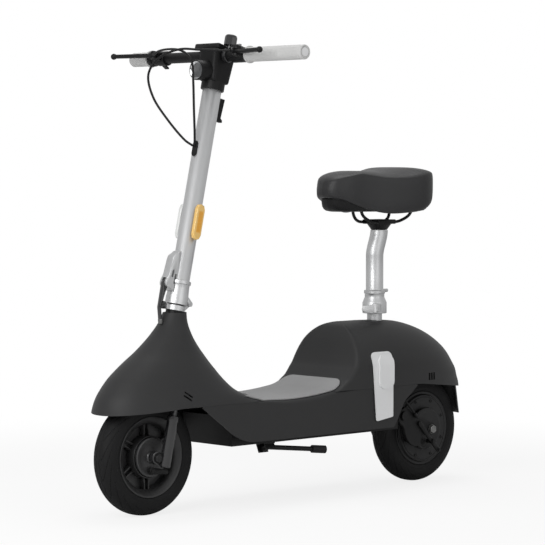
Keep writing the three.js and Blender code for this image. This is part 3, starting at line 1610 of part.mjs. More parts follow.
// A brake lever: a flat blade from its pivot to the ball at its tip.
function brakeLever(side, pivot, reach) {
  const tip = pivot + reach;
  const outline = slotPoints(
    [perch.pivotAhead, side * pivot], [lever.tipAhead, side * tip], lever.rootWidth, lever.tipWidth, 8,
  );
  const shape = new THREE.Shape(outline.map(([x, y]) => new THREE.Vector2(x, y)));
  const blade = new THREE.ExtrudeGeometry(shape, { depth: lever.thick, bevelEnabled: false });
  const places = blade.getAttribute("position");
  for (let i = 0; i < places.count; i++) {
    const along = Math.max(0, Math.abs(places.getY(i)) - pivot) / (tip - pivot);
    places.setZ(i, places.getZ(i) + bar.up - lever.thick / 2 - lever.droop * along);
  }
  const ball = new THREE.SphereGeometry(lever.ball, 12, 8);
  ball.translate(lever.tipAhead, side * tip, bar.up - lever.droop);
  const hole = rod(
    [perch.pivotAhead, side * pivot, bar.up - toolReach],
    [perch.pivotAhead, side * pivot, bar.up + toolReach],
    perch.pin + running, 12,
  );
  return cut(join(blade, ball), hole);
}

function throttleBody() {
  return sleeve(
    [bar.lead, -throttleFrom, bar.up], [bar.lead, -throttleTo, bar.up], throttle.radius, bar.radius + gap,
  );
}

function throttlePaddle() {
  const ring = sleeve(
    [bar.lead, -paddleFrom, bar.up], [bar.lead, -paddleTo, bar.up],
    throttle.paddleRadius, bar.radius + running,
  );
  const edge = throttle.paddleWidth / 2;
  const tab = block(
    -throttle.tabOut, -throttle.tabIn - gap, -edge, edge, -throttle.tabThick / 2, throttle.tabThick / 2,
  );
  tab.rotateY(-THREE.MathUtils.degToRad(throttle.tabDropDegrees));
  tab.translate(bar.lead, -paddleFrom - edge, bar.up);
  return join(ring, tab);
}

function bellBody() {
  const clamp = sleeve(
    [bar.lead, bellSide - bell.clampHalf, bar.up], [bar.lead, bellSide + bell.clampHalf, bar.up],
    bell.clamp, bar.radius + gap,
  );
  const domeLow = bar.up + bell.rise;
  const from = [bar.lead, bellSide, domeLow];
  const stalk = rod(
    [bar.lead, bellSide, bar.up + bell.clamp - overrun], [bar.lead, bellSide, domeLow + overrun],
    bell.stalk, 12,
  );
  const rows = [
    [0, 0],
    [bell.dome, 0],
    [bell.dome, bell.height - bell.stalk],
    [bell.dome - bell.stalk / 2, bell.height - bell.stalk / 4],
    [bell.stalk, bell.height],
    [0, bell.height],
  ];
  return join(clamp, stalk, turned(rows, from, [bar.lead, bellSide, domeLow + bell.height], 20));
}

// The control cables, from the lever perches to the port on the stem.
// Rows are: ahead of the steering axis, left of it as a share of the perch's own distance, and up
// from the bar.
const leftCordRoute = [
  [44, 0.863, -0.6], [58, 0.608, -3], [72, 0.196, -4], [86, -0.314, -5], [96, -0.824, -26],
  [97, -1.059, -63.6], [80, -0.961, -111], [58, -0.608, -157], [38, -0.235, -194], [26.6, -0.029, -207],
];
const rightCordRoute = [
  [44, -1.017, -3], [60, -0.809, 1], [72, -0.539, 0.8], [78, -0.27, -3.3], [77, -0.086, -14],
  [73, 0.025, -34.6], [66, 0.061, -74.6], [52, 0.061, -128.6], [36, 0.043, -178], [26.6, 0.025, -207],
];
const cordSteps = 22;
function controlCable(route, reach) {
  return hose(route.map(([ahead, side, up]) => [ahead, side * reach, bar.up + up]), cordRadius, cordSteps);
}

// Seat post: clamp collar, straight sleeve over the seat tube, and the bend back under the saddle.
const bendShare = 0.25; // how much of its setback the post has halfway up the bend
function seatPost() {
  const rows = [
    [seat.tube + running, 0],
    [seat.collar, 0],
    [seat.collar, seat.collarStep],
    [seat.neck, seat.neckLow],
    [seat.neck, seat.collarTop - seat.postLow - seat.lipHigh],
    [seat.lip, seat.collarTop - seat.postLow - seat.lipHigh],
    [seat.lip, seat.collarTop - seat.postLow],
    [seat.post, seat.collarTop - seat.postLow],
    [seat.post, seat.bend - seat.postLow],
    [0, seat.bend - seat.postLow],
    [0, seat.boreTop - seat.postLow],
    [seat.tube + running, seat.boreTop - seat.postLow],
    [seat.tube + running, 0],
  ];
  const straight = turned(rows, [seatX, 0, seat.postLow], [seatX, 0, seat.bend], 24);
  const bend = new THREE.CatmullRomCurve3([
    new THREE.Vector3(seatX, 0, seat.bend - overrun),
    new THREE.Vector3(seatX, 0, seat.bend),
    new THREE.Vector3(seatX - seat.setback * bendShare, 0, (seat.bend + seat.top) / 2),
    new THREE.Vector3(seatX - seat.setback, 0, seat.top),
  ]);
  const curved = sweep(bend, seat.post, 5, 24);
  const ear = block(
    clampLever.x - clampLever.eye - gap - seat.post, clampLever.x - clampLever.eye - gap,
    seat.tube + seat.earIn, clampLever.side + clampLever.thick / 2, clampLever.low, clampLever.high,
  );
  const pegFrom = seatX - seat.post + seat.peg / 2;
  const peg = rod([pegFrom, 0, seat.pegUp], [seatX - seat.pegOut, 0, seat.pegUp], seat.peg, 12);
  const bore = rod([seatX, 0, seat.postLow - overrun], [seatX, 0, seat.boreTop], seat.tube + running, 24);
  const above = block(
    seatX - toolReach, seatX + toolReach, -toolReach, toolReach, seat.top, seat.top + toolReach,
  );
  return cut(join(straight, curved, ear, peg), bore, above);
}

function seatClampLever() {
  const eye = rod(
    [clampLever.x, clampLever.side, clampLever.low], [clampLever.x, clampLever.side, clampLever.high],
    clampLever.eye, 14,
  );
  const flag = block(
    clampLever.x, clampLever.x + clampLever.reach,
    clampLever.side - clampLever.thick / 2, clampLever.side + clampLever.thick / 2,
    clampLever.low + gap, clampLever.high - gap,
  );
  return join(eye, flag);
}

// Saddle: half width along its length, as shares of its length and of its half width.
const saddleShares = [
  [0, 0], [0.01, 0.14], [0.035, 0.26], [0.08, 0.36], [0.16, 0.45], [0.3, 0.54], [0.42, 0.65],
  [0.55, 0.81], [0.68, 0.94], [0.79, 1], [0.88, 0.95], [0.94, 0.83], [0.98, 0.6], [1, 0],
];
// Heights along its length, as shares of the saddle's own: crown, crease round the top, lower edge.
const saddleHeightShares = [
  [0, 0.68, 0.56, 0.33],
  [0.03, 0.8, 0.56, 0.31],
  [0.09, 0.866, 0.607, 0.27],
  [0.16, 0.893, 0.692, 0.2],
  [0.24, 0.906, 0.777, 0.14],
  [0.31, 0.9, 0.764, 0.088],
  [0.455, 0.895, 0.711, 0.02],
  [0.54, 0.903, 0.687, 0.01],
  [0.64, 0.937, 0.674, 0.025],
  [0.75, 0.979, 0.71, 0.05],
  [0.85, 0.998, 0.795, 0.11],
  [0.93, 0.995, 0.82, 0.2],
  [1, 0.95, 0.83, 0.28],
];
// The top from the middle out, then the wall: share of the half width, share of the wall's height.
const topShares = [0.35, 0.62, 0.8, 0.9, 0.955, 0.984];
const wallShares = [[1, 0.86], [1, 0.45], [0.985, 0.12], [0.94, 0]];
const noseCrownPower = 4.2;
const rearCrownPower = 2.1;
const waistShare = 0.4; // the crown is boxy at the nose and round behind the waist
const saddleSides = 36;
const saddleCentreShare = 0.6;

// A point of the saddle's plan, drawn in towards its middle, and how far along its rim lies.
function saddlePlan(inward, angle) {
  const length = saddle.nose - saddle.tail;
  const along = (1 - Math.cos(angle)) / 2;
  const half = saddle.half * between(saddleShares, along) * Math.sign(Math.sin(angle));
  const centre = saddle.nose - length * saddleCentreShare;
  const x = saddle.nose - along * length;
  return [centre + (x - centre) * inward, half * inward, along];
}

function saddleHeight(along, column) {
  return saddle.low + saddle.height * between(saddleHeightShares, along, column);
}

function saddleTop(inward, angle) {
  const [x, y, along] = saddlePlan(inward, angle);
  const crown = saddleHeight((saddle.nose - x) / (saddle.nose - saddle.tail), 1);
  const crease = saddleHeight(along, 2);
  const power = noseCrownPower + (rearCrownPower - noseCrownPower) * Math.min(1, along / waistShare);
  const share = (1 - inward ** power) ** (1 / power);
  return [x, y, crease + (crown - crease) * share];
}

// A solid from rings of points round the saddle's plan, closed over its middle at both ends.
function ringed(rings, topZ, lowZ) {
  const count = saddleSides;
  const middle = saddlePlan(0, 0)[0];
  const points = [...rings.flat(2), middle, 0, topZ, middle, 0, lowZ];
  const [top, bottom] = [rings.length * count, rings.length * count + 1];
  const faces = [];
  for (let j = 0; j < count; j++) {
    const k = (j + 1) % count;
    faces.push(top, j, k);
    for (let i = 0; i < rings.length - 1; i++) {
      const [a, b] = [i * count, (i + 1) * count];
      faces.push(a + j, b + k, a + k, a + j, b + j, b + k);
    }
    const last = (rings.length - 1) * count;
    faces.push(last + j, bottom, last + k);
  }
  const geometry = new THREE.BufferGeometry();
  geometry.setAttribute("position", new THREE.BufferAttribute(new Float32Array(points), 3));
  geometry.setIndex(faces);
  return geometry;
}

// One ring of a saddle solid: pointAt gives the point at an angle.
function ringOf(pointAt) {
  return Array.from({ length: saddleSides }, (_, j) => pointAt((2 * Math.PI * j) / saddleSides));
}

function saddleCushion() {
  const tops = topShares.map((inward) => ringOf((angle) => saddleTop(inward, angle)));
  const walls = wallShares.map(([inward, up]) => ringOf((angle) => {
    const [x, y, along] = saddlePlan(inward, angle);
    const edge = saddleHeight(along, 3);
    return [x, y, edge + up * (saddleHeight(along, 2) - edge)];
  }));
  return ringed([...tops, ...walls], saddleTop(0, 0)[2], saddle.low + saddle.hollow);
}

// The stiff shell under the cushion: its rings are [share of the half width, share of its height].
const baseShares = [[0.92, 1], [0.91, 0.3], [0.85, 0.08], [0.6, 0]];
function saddleBase() {
  const rings = baseShares.map(([inward, up]) => ringOf((angle) => {
    const [x, y] = saddlePlan(inward, angle);
    return [x, y, saddle.baseLow + up * saddle.baseRise];
  }));
  const block = ringed(rings, saddle.baseLow + saddle.baseRise, saddle.baseLow);
  return cut(block, saddleCushion().translate(0, 0, -gap));
}

// Clamp head on the post, with the two rails that carry the saddle's shell.
const rail = { front: -228, rear: -380, side: 22, low: 621, high: 656, radius: 3.6 };
// A rail from its front end back: shares of its length, of its distance from the middle, of its height.
const railShares = [
  [0, 0.6, 0.886], [0.046, 0.7, 0.429], [0.145, 0.9, 0.114], [0.289, 1, 0], [0.697, 1, 0],
  [0.855, 1.2, 0.171], [0.947, 1.5, 0.486], [1, 1.7, 1],
];
const railSteps = 11;
function saddleFrame() {
  const headX = seatX - seat.setback;
  const rows = [
    [0, 0],
    [saddle.headRadius, 0],
    [saddle.headTopRadius, saddle.headHigh - saddle.headLow - saddle.headRim],
    [saddle.headTopRadius, saddle.headHigh - saddle.headLow],
    [0, saddle.headHigh - saddle.headLow],
  ];
  const clamp = turned(rows, [headX, 0, saddle.headLow], [headX, 0, saddle.headHigh]);
  const bridge = block(
    headX - saddle.headTopRadius, headX + saddle.headTopRadius, -saddle.headTopRadius, saddle.headTopRadius,
    saddle.headHigh - rail.radius, rail.low + rail.radius + rail.radius,
  );
  const rails = [-1, 1].map((side) => hose(
    railShares.map(([back, out, up]) => [
      rail.front + back * (rail.rear - rail.front),
      side * out * rail.side,
      rail.low + up * (rail.high - rail.low),
    ]), rail.radius, railSteps, 8,
  ));
  return cut(join(clamp, bridge, ...rails), saddleBase().translate(0, 0, -gap));
}

// Everything in place

part(scooter, "main_frame", mainFrame(), "black");
part(scooter, "battery_pack", batteryPack(), "pack");
part(scooter, "motor_controller", motorController(), "cast");
part(scooter, "under_tray", underTray(), "black");
part(scooter, "front_cowl", frontCowl(), "shell");
part(scooter, "rear_cowl", rearCowl(), "shell");
part(scooter, "side_skirt_left", sideSkirt(1), "shell");
part(scooter, "side_skirt_right", sideSkirt(-1), "shell");
part(scooter, "deck_plate", deckPlate(), "shell");
part(scooter, "deck_mat", deckMat(), "mat");
part(scooter, "mudflap", mudflap(), "rubber");
part(scooter, "port_panel", portPanel(), "panel");
part(scooter, "port_cap", portCap(), "panel");
part(scooter, "stand_bracket", standBracket(), "black");
part(scooter, "stand_leg", standLeg(), "black");

part(steering, "fork_crown", forkCrown(), "black");
part(steering, "fork_lowers", forkLowers(), "black");
part(steering, "front_drum_plate", frontDrumPlate(), "cast");
part(steering, "front_brake_arm", frontBrakeArm(), "black");
part(scooter, "front_rim", frontRim().translate(halfBase, 0, tyreRadius), "cast");
part(scooter, "front_tyre", tyreBody().translate(halfBase, 0, tyreRadius), "rubber");

part(scooter, "rear_hub", rearHub().translate(-halfBase, 0, tyreRadius), "cast");
part(scooter, "rear_tyre", tyreBody().translate(-halfBase, 0, tyreRadius), "rubber");
part(scooter, "rear_axle", rearAxle(), "cast");
part(scooter, "rear_arm_left", rearArmPlate(1), "black");
part(scooter, "rear_arm_right", rearArmPlate(-1), "black");
part(scooter, "rear_drum_plate", rearDrumPlate(), "cast");
part(scooter, "rear_brake_arm", rearBrakeArm(), "black");
part(scooter, "rear_cable", rearCable(), "black");

part(steering, "stem_base", stemBase(), "steel");
part(steering, "stem_tube", stemTube(), "silver");
part(steering, "latch_body", latchBody(), "silver");
part(steering, "latch_lever", latchLever(), "black");
part(steering, "reflector_left", reflectorPlate(1), "amber");
part(steering, "reflector_right", reflectorPlate(-1), "clear");
part(steering, "cable_port", cablePort(), "black");
part(steering, "handlebar", handlebar(), "black");
part(steering, "grip_left", gripSleeve(1, gripLeftFrom), "grip");
part(steering, "grip_right", gripSleeve(-1, gripRightFrom), "grip");
part(steering, "head_housing", headHousing(), "black");
part(steering, "lamp_lens", lampLens(), "clear");
part(steering, "display", displayCase(), "black");
part(steering, "left_control", leftControl(), "black");
part(steering, "right_perch", perchBody(-1, perchRightFrom, perchRightTo, perchRightPivot), "black");
part(steering, "brake_lever_left", brakeLever(1, perchLeftPivot, lever.leftReach), "black");
part(steering, "brake_lever_right", brakeLever(-1, perchRightPivot, lever.rightReach), "black");
part(steering, "throttle_body", throttleBody(), "black");
part(steering, "throttle_paddle", throttlePaddle(), "black");
part(steering, "button_first", podButton(button.firstIn), "cast");
part(steering, "button_second", podButton(button.secondIn), "cast");
part(steering, "bell", bellBody(), "black");
part(steering, "cable_left", controlCable(leftCordRoute, perchLeftTo), "black");
part(steering, "cable_right", controlCable(rightCordRoute, perchRightFrom), "black");

part(scooter, "seat_post", seatPost(), "silver");
part(scooter, "seat_clamp_lever", seatClampLever(), "panel");
part(scooter, "saddle_frame", saddleFrame(), "black");
part(scooter, "saddle_base", saddleBase(), "black");
part(scooter, "saddle_cushion", saddleCushion(), "leather");

// Middle of the length: the nose of the tyre and cowl ahead, the mudflap behind.
const noseX = Math.max(halfBase + tyreRadius, cowlPoint(0, 0).x);
const sternX = flap.centreX - flap.radius - flap.slant;
const shift = -(noseX + sternX) / 2;
scooter.position.x = shift;
scooter.userData.shift = shift;
scooter.updateMatrixWorld(true);
export default scooter;
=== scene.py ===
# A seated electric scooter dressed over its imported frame. Metres, +X forward, +Y the rider's left,
# +Z up, ground at z = 0.
import json
import math
import bmesh
import bpy
import numpy as np
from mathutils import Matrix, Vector

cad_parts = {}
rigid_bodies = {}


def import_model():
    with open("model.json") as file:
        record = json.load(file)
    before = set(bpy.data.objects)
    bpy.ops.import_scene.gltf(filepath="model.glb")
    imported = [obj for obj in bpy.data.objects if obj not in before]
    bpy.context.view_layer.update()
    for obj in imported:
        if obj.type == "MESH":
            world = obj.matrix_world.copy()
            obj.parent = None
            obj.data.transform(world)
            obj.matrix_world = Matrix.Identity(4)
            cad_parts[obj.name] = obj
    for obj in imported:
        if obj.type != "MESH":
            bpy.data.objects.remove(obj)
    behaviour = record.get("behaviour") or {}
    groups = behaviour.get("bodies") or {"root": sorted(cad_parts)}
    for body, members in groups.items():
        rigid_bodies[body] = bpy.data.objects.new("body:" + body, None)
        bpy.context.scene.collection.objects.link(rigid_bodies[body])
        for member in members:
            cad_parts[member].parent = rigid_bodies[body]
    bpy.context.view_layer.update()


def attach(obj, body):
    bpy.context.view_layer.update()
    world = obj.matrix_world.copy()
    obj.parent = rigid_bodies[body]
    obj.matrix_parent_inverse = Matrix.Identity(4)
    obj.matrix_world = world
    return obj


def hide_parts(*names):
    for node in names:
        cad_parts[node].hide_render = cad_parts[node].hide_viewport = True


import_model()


# The camera stands to the scooter's front left, low, with a long lens, and looks slightly down. It
# shows the tones as they are.
def placed(name, data):
    """A new object in the scene."""
    made = bpy.data.objects.new(name, data)
    bpy.context.scene.collection.objects.link(made)
    return made


camera = placed("camera", bpy.data.cameras.new("camera"))
camera.data.sensor_width = 36
camera.data.lens = 159.95
camera.data.clip_end = 60
camera.location = (3.79968, 3.96754, 0.75551)
camera.rotation_euler = Vector((-0.6865, -0.7259, -0.0445)).to_track_quat("-Z", "Y").to_euler()
bpy.context.scene.camera = camera
bpy.context.scene.view_settings.view_transform = "Standard"


class Wire:
    """A shader socket. Sums, products and powers of wires and numbers add the Math nodes for them."""

    def __init__(self, tree, socket=None):
        self.tree = tree
        self.socket = socket

    def make(self, kind, settings=None, values=None, out=0):
        """Adds one node: its settings first, then its sockets' values or wires; gives one output."""
        node = self.tree.nodes.new("ShaderNode" + kind)
        for key, value in (settings or {}).items():
            if key == "stops":
                for stop, (place, tone) in zip(node.color_ramp.elements, value):
                    stop.position = place
                    stop.color = (*tone, 1)
            else:
                setattr(node, key, value)
        for key, value in (values or {}).items():
            if isinstance(value, Wire):
                self.tree.links.new(value.socket, node.inputs[key])
            else:
                node.inputs[key].default_value = value
        return Wire(self.tree, node.outputs[out])

    def maths(self, operation, *values):
        """One Math node over wires and numbers."""
        return self.make("Math", {"operation": operation}, dict(enumerate(values)))

    def __add__(self, other):
        return self.maths("ADD", self, other)

    def __radd__(self, other):
        return self.maths("ADD", other, self)

    def __sub__(self, other):
        return self.maths("SUBTRACT", self, other)

    def __rsub__(self, other):
        return self.maths("SUBTRACT", other, self)

    def __mul__(self, other):
        return self.maths("MULTIPLY", self, other)

    def __rmul__(self, other):
        return self.maths("MULTIPLY", other, self)

    def __pow__(self, other):
        return self.maths("POWER", self, other)

    def __rpow__(self, other):
        return self.maths("POWER", other, self)

    def parts(self):
        """The three parts of a vector wire."""
        node = self.tree.nodes.new("ShaderNodeSeparateXYZ")
        self.tree.links.new(self.socket, node.inputs[0])
        return [Wire(self.tree, out) for out in node.outputs]

    def noise(self, scale, detail):
        """Cloudy noise from 0 to 1 over this vector; scale is in cells per metre."""
        return self.make("TexNoise", None, {"Vector": self, "Scale": scale, "Detail": detail})

    def cells(self, scale):
        """Distance to the nearest seed over this vector."""
        return self.make("TexVoronoi", None, {"Vector": self, "Scale": scale})

    def band(self, low, high):
        """0 below low, 1 above high, a soft step between."""
        limits = {"Value": self, "From Min": low, "From Max": high}
        return self.make("MapRange", {"interpolation_type": "SMOOTHSTEP"}, limits)


def finish(name, colour, rough, metal=0.0, grain=None, deep=0.0, coat=0.0, specular=0.5):
    """A material. colour and rough may be functions of the Object coordinates; grain is a height in
    millimetres over them, or the scale of a plain noise; deep is how strongly it shows."""
    material = bpy.data.materials.new(name)
    material.use_nodes = True
    tree = material.node_tree
    shader = tree.nodes["Principled BSDF"]
    start = Wire(tree)
    place = start.make("TexCoord", out=3)
    for key, value in (("Base Color", colour), ("Roughness", rough), ("Metallic", metal)):
        if callable(value):
            tree.links.new(value(place).socket, shader.inputs[key])
        else:
            shader.inputs[key].default_value = (*value, 1) if isinstance(value, tuple) else value
    if grain:
        height = grain(place) if callable(grain) else place.noise(grain, 2.0)
        bump = start.make("Bump", None, {"Strength": deep, "Distance": 0.001, "Height": height})
        tree.links.new(bump.socket, shader.inputs["Normal"])
    shader.inputs["Specular IOR Level"].default_value = specular
    if coat:
        shader.inputs["Coat Weight"].default_value = coat
        shader.inputs["Coat Roughness"].default_value = 0.08
    return material


def tinted(dark, light, scale):
    """A colour that drifts between two tones in soft clouds, scale cells per metre."""
    return lambda place: place.make(
        "ValToRGB", {"stops": [(0.3, dark), (0.7, light)]}, {"Fac": place.noise(scale, 4.0)})


def grey(dark, light, scale, blue=0.0):
    """A grey that drifts between two tones, with a little blue in it."""
    return tinted((dark, dark, dark + blue), (light, light, light + blue), scale)


def uneven(low, high, scale):
    """A roughness that drifts between two values."""
    return lambda place: place.noise(scale, 5.0) * (high - low) + low


# The stage is a pale floor that goes white with distance, under a white sky and three soft lamps:
# one ahead of the nose and above, one beside the camera, one overhead.
def floor_finish():
    """Matt grey; the camera sees it fade to white from 0.75 m to 1.9 m off the middle."""
    material = bpy.data.materials.new("pale_floor")
    material.use_nodes = True
    tree = material.node_tree
    tree.nodes.clear()
    start = Wire(tree)
    x, y, _ = start.make("TexCoord", out=3).parts()
    away = ((x * x + y * y) ** 0.5).band(0.75, 1.9)
    seen = start.make("LightPath", out=0)
    diffuse = start.make("BsdfDiffuse", None, {"Color": (0.9, 0.9, 0.9, 1)})
    glow = start.make("Emission", None, {"Color": (1, 1, 1, 1), "Strength": 1.0})
    shader = start.make("MixShader", None, {0: seen * (away * 0.18 + 0.82), 1: diffuse, 2: glow})
    output = tree.nodes.new("ShaderNodeOutputMaterial")
    tree.links.new(shader.socket, output.inputs[0])
    return material


floor_mesh = bpy.data.meshes.new("floor")
floor_mesh.from_pydata([(-20, -20, 0), (20, -20, 0), (20, 20, 0), (-20, 20, 0)], [], [(0, 1, 2, 3)])
floor = placed("floor", floor_mesh)
floor.data.materials.append(floor_finish())

world = bpy.data.worlds.new("studio")
bpy.context.scene.world = world
world.use_nodes = True
sky = Wire(world.node_tree)
seen, mirrored, through = (sky.make("LightPath", out=k) for k in (0, 3, 6))
# The sky is brightest to the camera, less bright through clear things and in mirrors, and least as light.
strength = seen * 0.66 + through * 0.5 + mirrored * 0.34 + 0.34
background = world.node_tree.nodes["Background"]
background.inputs["Color"].default_value = (1, 1, 1, 1)
world.node_tree.links.new(strength.socket, background.inputs["Strength"])
for name, place, size, power in (
        ("lamp_front", (2.6, 0.6, 1.7), 1.6, 42), ("lamp_side", (0.2, 3.0, 1.3), 2.2, 13),
        ("lamp_top", (-0.4, -0.3, 3.0), 1.6, 26)):
    lamp = placed(name, bpy.data.lights.new(name, "AREA"))
    lamp.data.size = size
    lamp.data.energy = power
    lamp.location = place
    lamp.rotation_euler = (Vector((0, 0, 0.4)) - Vector(place)).to_track_quat("-Z", "Y").to_euler()


# The front cowl is one satin charcoal moulding: a nose over the wheel that draws up into a round neck
# behind the latch, with its hollowed back facing the rider and two slanted air slots a side.
wheel_x, tyre_radius = 424.3, 127.5
fork_lead, rake = 19.4, math.radians(12.83)
head_ground = wheel_x + tyre_radius * math.tan(rake) - fork_lead / math.cos(rake)
half_body, shell_wall = 110.0, 3.0


def metres(points):
    """Millimetres from mid-wheelbase to metres in the frame: x + 6.1, and all over 1000."""
    return (np.asarray(points, float) + (6.1, 0, 0)) / 1000


def upright(x, y, z):
    """Points from three coordinates, each spread over the others."""
    return np.stack(np.broadcast_arrays(x, y, z), -1)


def leaned(angle, centre, place=upright):
    """A placing that turns x towards z by an angle, x cos - z sin and x sin + z cos, and then moves
    the point by the centre's three coordinates."""
    c, s = math.cos(angle), math.sin(angle)
    return lambda x, y, z: place(centre[0] + x * c - z * s, centre[1] + y, centre[2] + x * s + z * c)


def tilted(u, y, w):
    """A point u ahead of the steering axis, y to the left, and w up along it from the ground."""
    return leaned(rake, (head_ground, 0, 0))(u, y, w)


def crossed(rows, columns):
    """Two coordinates over a grid: the first down its rows, the second along its columns."""
    return np.meshgrid(rows, columns, indexing="ij")


def around(count):
    """Evenly spaced angles of one turn."""
    return np.linspace(0, 2 * np.pi, count, endpoint=False)


def curve(rows, place, column=1):
    """Cubic through a table's values in one column: each stretch is a Hermite cubic whose end slopes
    are those of the chord between the neighbours on either side."""
    rows = np.asarray(rows, float)
    x, v = rows[:, 0], rows[:, column]
    slope = np.gradient(v, x)
    slope[1:-1] = (v[2:] - v[:-2]) / (x[2:] - x[:-2])
    k = np.clip(np.searchsorted(x, place, side="right") - 1, 0, len(x) - 2)
    wide = x[k + 1] - x[k]
    t = np.clip((place - x[k]) / wide, 0, 1)
    return ((2 * t**3 - 3 * t**2 + 1) * v[k] + (t**3 - 2 * t**2 + t) * slope[k] * wide
            + (3 * t**2 - 2 * t**3) * v[k + 1] + (t**3 - t**2) * slope[k + 1] * wide)


def cells(rows, columns, ring=False, loop=False):
    """Corner numbers of a grid's cells; ring closes the columns on themselves, loop the rows."""
    i, j = crossed(np.arange(rows if loop else rows - 1), np.arange(columns if ring else columns - 1))
    k, m = (i + 1) % rows, (j + 1) % columns
    return np.stack([i * columns + j, i * columns + m, k * columns + m, k * columns + j], -1).reshape(-1, 4)


def drifted(points, axis, width):
    """Points averaged along one axis of their grid with bell-shaped weights, ends held."""
    taps = np.arange(-3 * width, 3 * width + 1)
    weight = np.exp(-0.5 * (taps / width) ** 2)
    first = np.take(points, [0], axis)
    last = np.take(points, [-1], axis)
    n = len(taps) // 2
    size = points.shape[axis]
    front = 2 * first - np.take(points, np.clip(np.arange(n, 0, -1), 0, size - 1), axis)
    back = 2 * last - np.take(points, np.clip(size - 1 - np.arange(1, n + 1), 0, size - 1), axis)
    wide = np.concatenate([front, points, back], axis)
    total = sum(w * np.take(wide, np.arange(k, k + size), axis) for k, w in enumerate(weight))
    return total / weight.sum()


def mesh_object(name, points, faces, away=None):
    """A mesh object from points in millimetres and lists of faces. Doubles are merged. Closed shapes
    get outward normals, open ones face away from the point given."""
    mesh = bpy.data.meshes.new(name)
    corners = [tuple(int(c) for c in face) for block in faces for face in block]
    mesh.from_pydata(metres(points).reshape(-1, 3).tolist(), [], corners)
    body = bmesh.new()
    body.from_mesh(mesh)
    bmesh.ops.remove_doubles(body, verts=body.verts, dist=1e-6)
    bmesh.ops.dissolve_degenerate(body, edges=body.edges, dist=1e-7)
    bmesh.ops.recalc_face_normals(body, faces=body.faces)
    if away is not None:
        inside = Vector(metres(away))
        if sum((f.calc_center_median() - inside).dot(f.normal) * f.calc_area() for f in body.faces) < 0:
            bmesh.ops.reverse_faces(body, faces=body.faces)
    body.to_mesh(mesh)
    body.free()
    return placed(name, mesh)


def settled(made):
    """Writes the object's modifiers into its mesh."""
    ready = bpy.data.meshes.new_from_object(made.evaluated_get(bpy.context.evaluated_depsgraph_get()))
    made.modifiers.clear()
    made.data = ready
    return made


def sheet(name, grid, away, wall, ring=False):
    """An open sheet over a grid of points, facing away from a point, with its wall inwards."""
    made = mesh_object(name, grid, [cells(*grid.shape[:2], ring=ring)], away)
    solid = made.modifiers.new("wall", "SOLIDIFY")
    solid.thickness = wall / 1000
    solid.offset = -1
    solid.use_even_offset = True
    solid.use_quality_normals = True
    return settled(made)


def edged(made, width, segments=3, angle=30):
    """Rounds the edges of a hard shape; width in millimetres."""
    bevel = made.modifiers.new("edges", "BEVEL")
    bevel.width = width / 1000
    bevel.segments = segments
    bevel.limit_method = "ANGLE"
    bevel.angle_limit = math.radians(angle)
    bevel.harden_normals = True
    return made


def cutaway(made, tool):
    """Cuts one mesh object out of another and removes the tool."""
    cutter = made.modifiers.new("cut", "BOOLEAN")
    cutter.operation = "DIFFERENCE"
    cutter.object = tool
    cutter.solver = "EXACT"
    settled(made)
    bpy.data.objects.remove(tool)


def dressed(made, material, body, node=None, sharp=35):
    """Finish, shading, body and the node of the plain part that the piece stands for."""
    made.data.materials.clear()
    made.data.materials.append(material)
    made.data.polygons.foreach_set("use_smooth", np.ones(len(made.data.polygons), bool))
    made.data.set_sharp_from_angle(angle=math.radians(sharp))
    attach(made, body)
    if node:
        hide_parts(node)


def box(name, low, high, place=upright):
    """A box between two corners, carried into its place."""
    share = np.array(np.meshgrid([0, 1], [0, 1], [0, 1], indexing="ij")).reshape(3, -1)
    low, high = np.array([low, high], float)[:, :, None]
    faces = [[0, 1, 3, 2], [4, 6, 7, 5], [0, 4, 5, 1], [2, 3, 7, 6], [0, 2, 6, 4], [1, 5, 7, 3]]
    return mesh_object(name, place(*(low + share * (high - low))), [faces])


cowl_rows = [
    [0, 1, 1, 1, 8], [0.03, 0.998, 0.91, 0.985, 6.8], [0.066, 0.992, 0.844, 0.962, 5.6],
    [0.126, 0.97, 0.733, 0.922, 4.2], [0.187, 0.928, 0.671, 0.88, 3.4], [0.247, 0.885, 0.622, 0.838, 2.9],
    [0.308, 0.838, 0.578, 0.79, 2.5], [0.369, 0.766, 0.53, 0.744, 2.3], [0.429, 0.692, 0.482, 0.69, 2.1],
    [0.49, 0.611, 0.431, 0.632, 2], [0.545, 0.524, 0.38, 0.577, 2], [0.606, 0.446, 0.324, 0.518, 2],
    [0.672, 0.371, 0.268, 0.462, 2], [0.737, 0.3, 0.22, 0.408, 2], [0.793, 0.252, 0.185, 0.37, 2],
    [0.848, 0.21, 0.156, 0.32, 2], [0.929, 0.174, 0.129, 0.264, 2], [1, 0.156, 0.1156, 0.236, 2]]
cowl_low, cowl_high = 237.0, 435.0
# Reach of the lower rim ahead of the axis and behind it, how far it dips at the nose, and from which x.
cowl_ahead, cowl_behind, nose_dip, dip_start = 167.0, 225.0, 13.0, 400.0
nose_x = head_ground - cowl_low * math.tan(rake) + cowl_ahead


def cowl_height(level):
    """Height over the ground of a level from 0 to 1."""
    return cowl_low + level * (cowl_high - cowl_low)


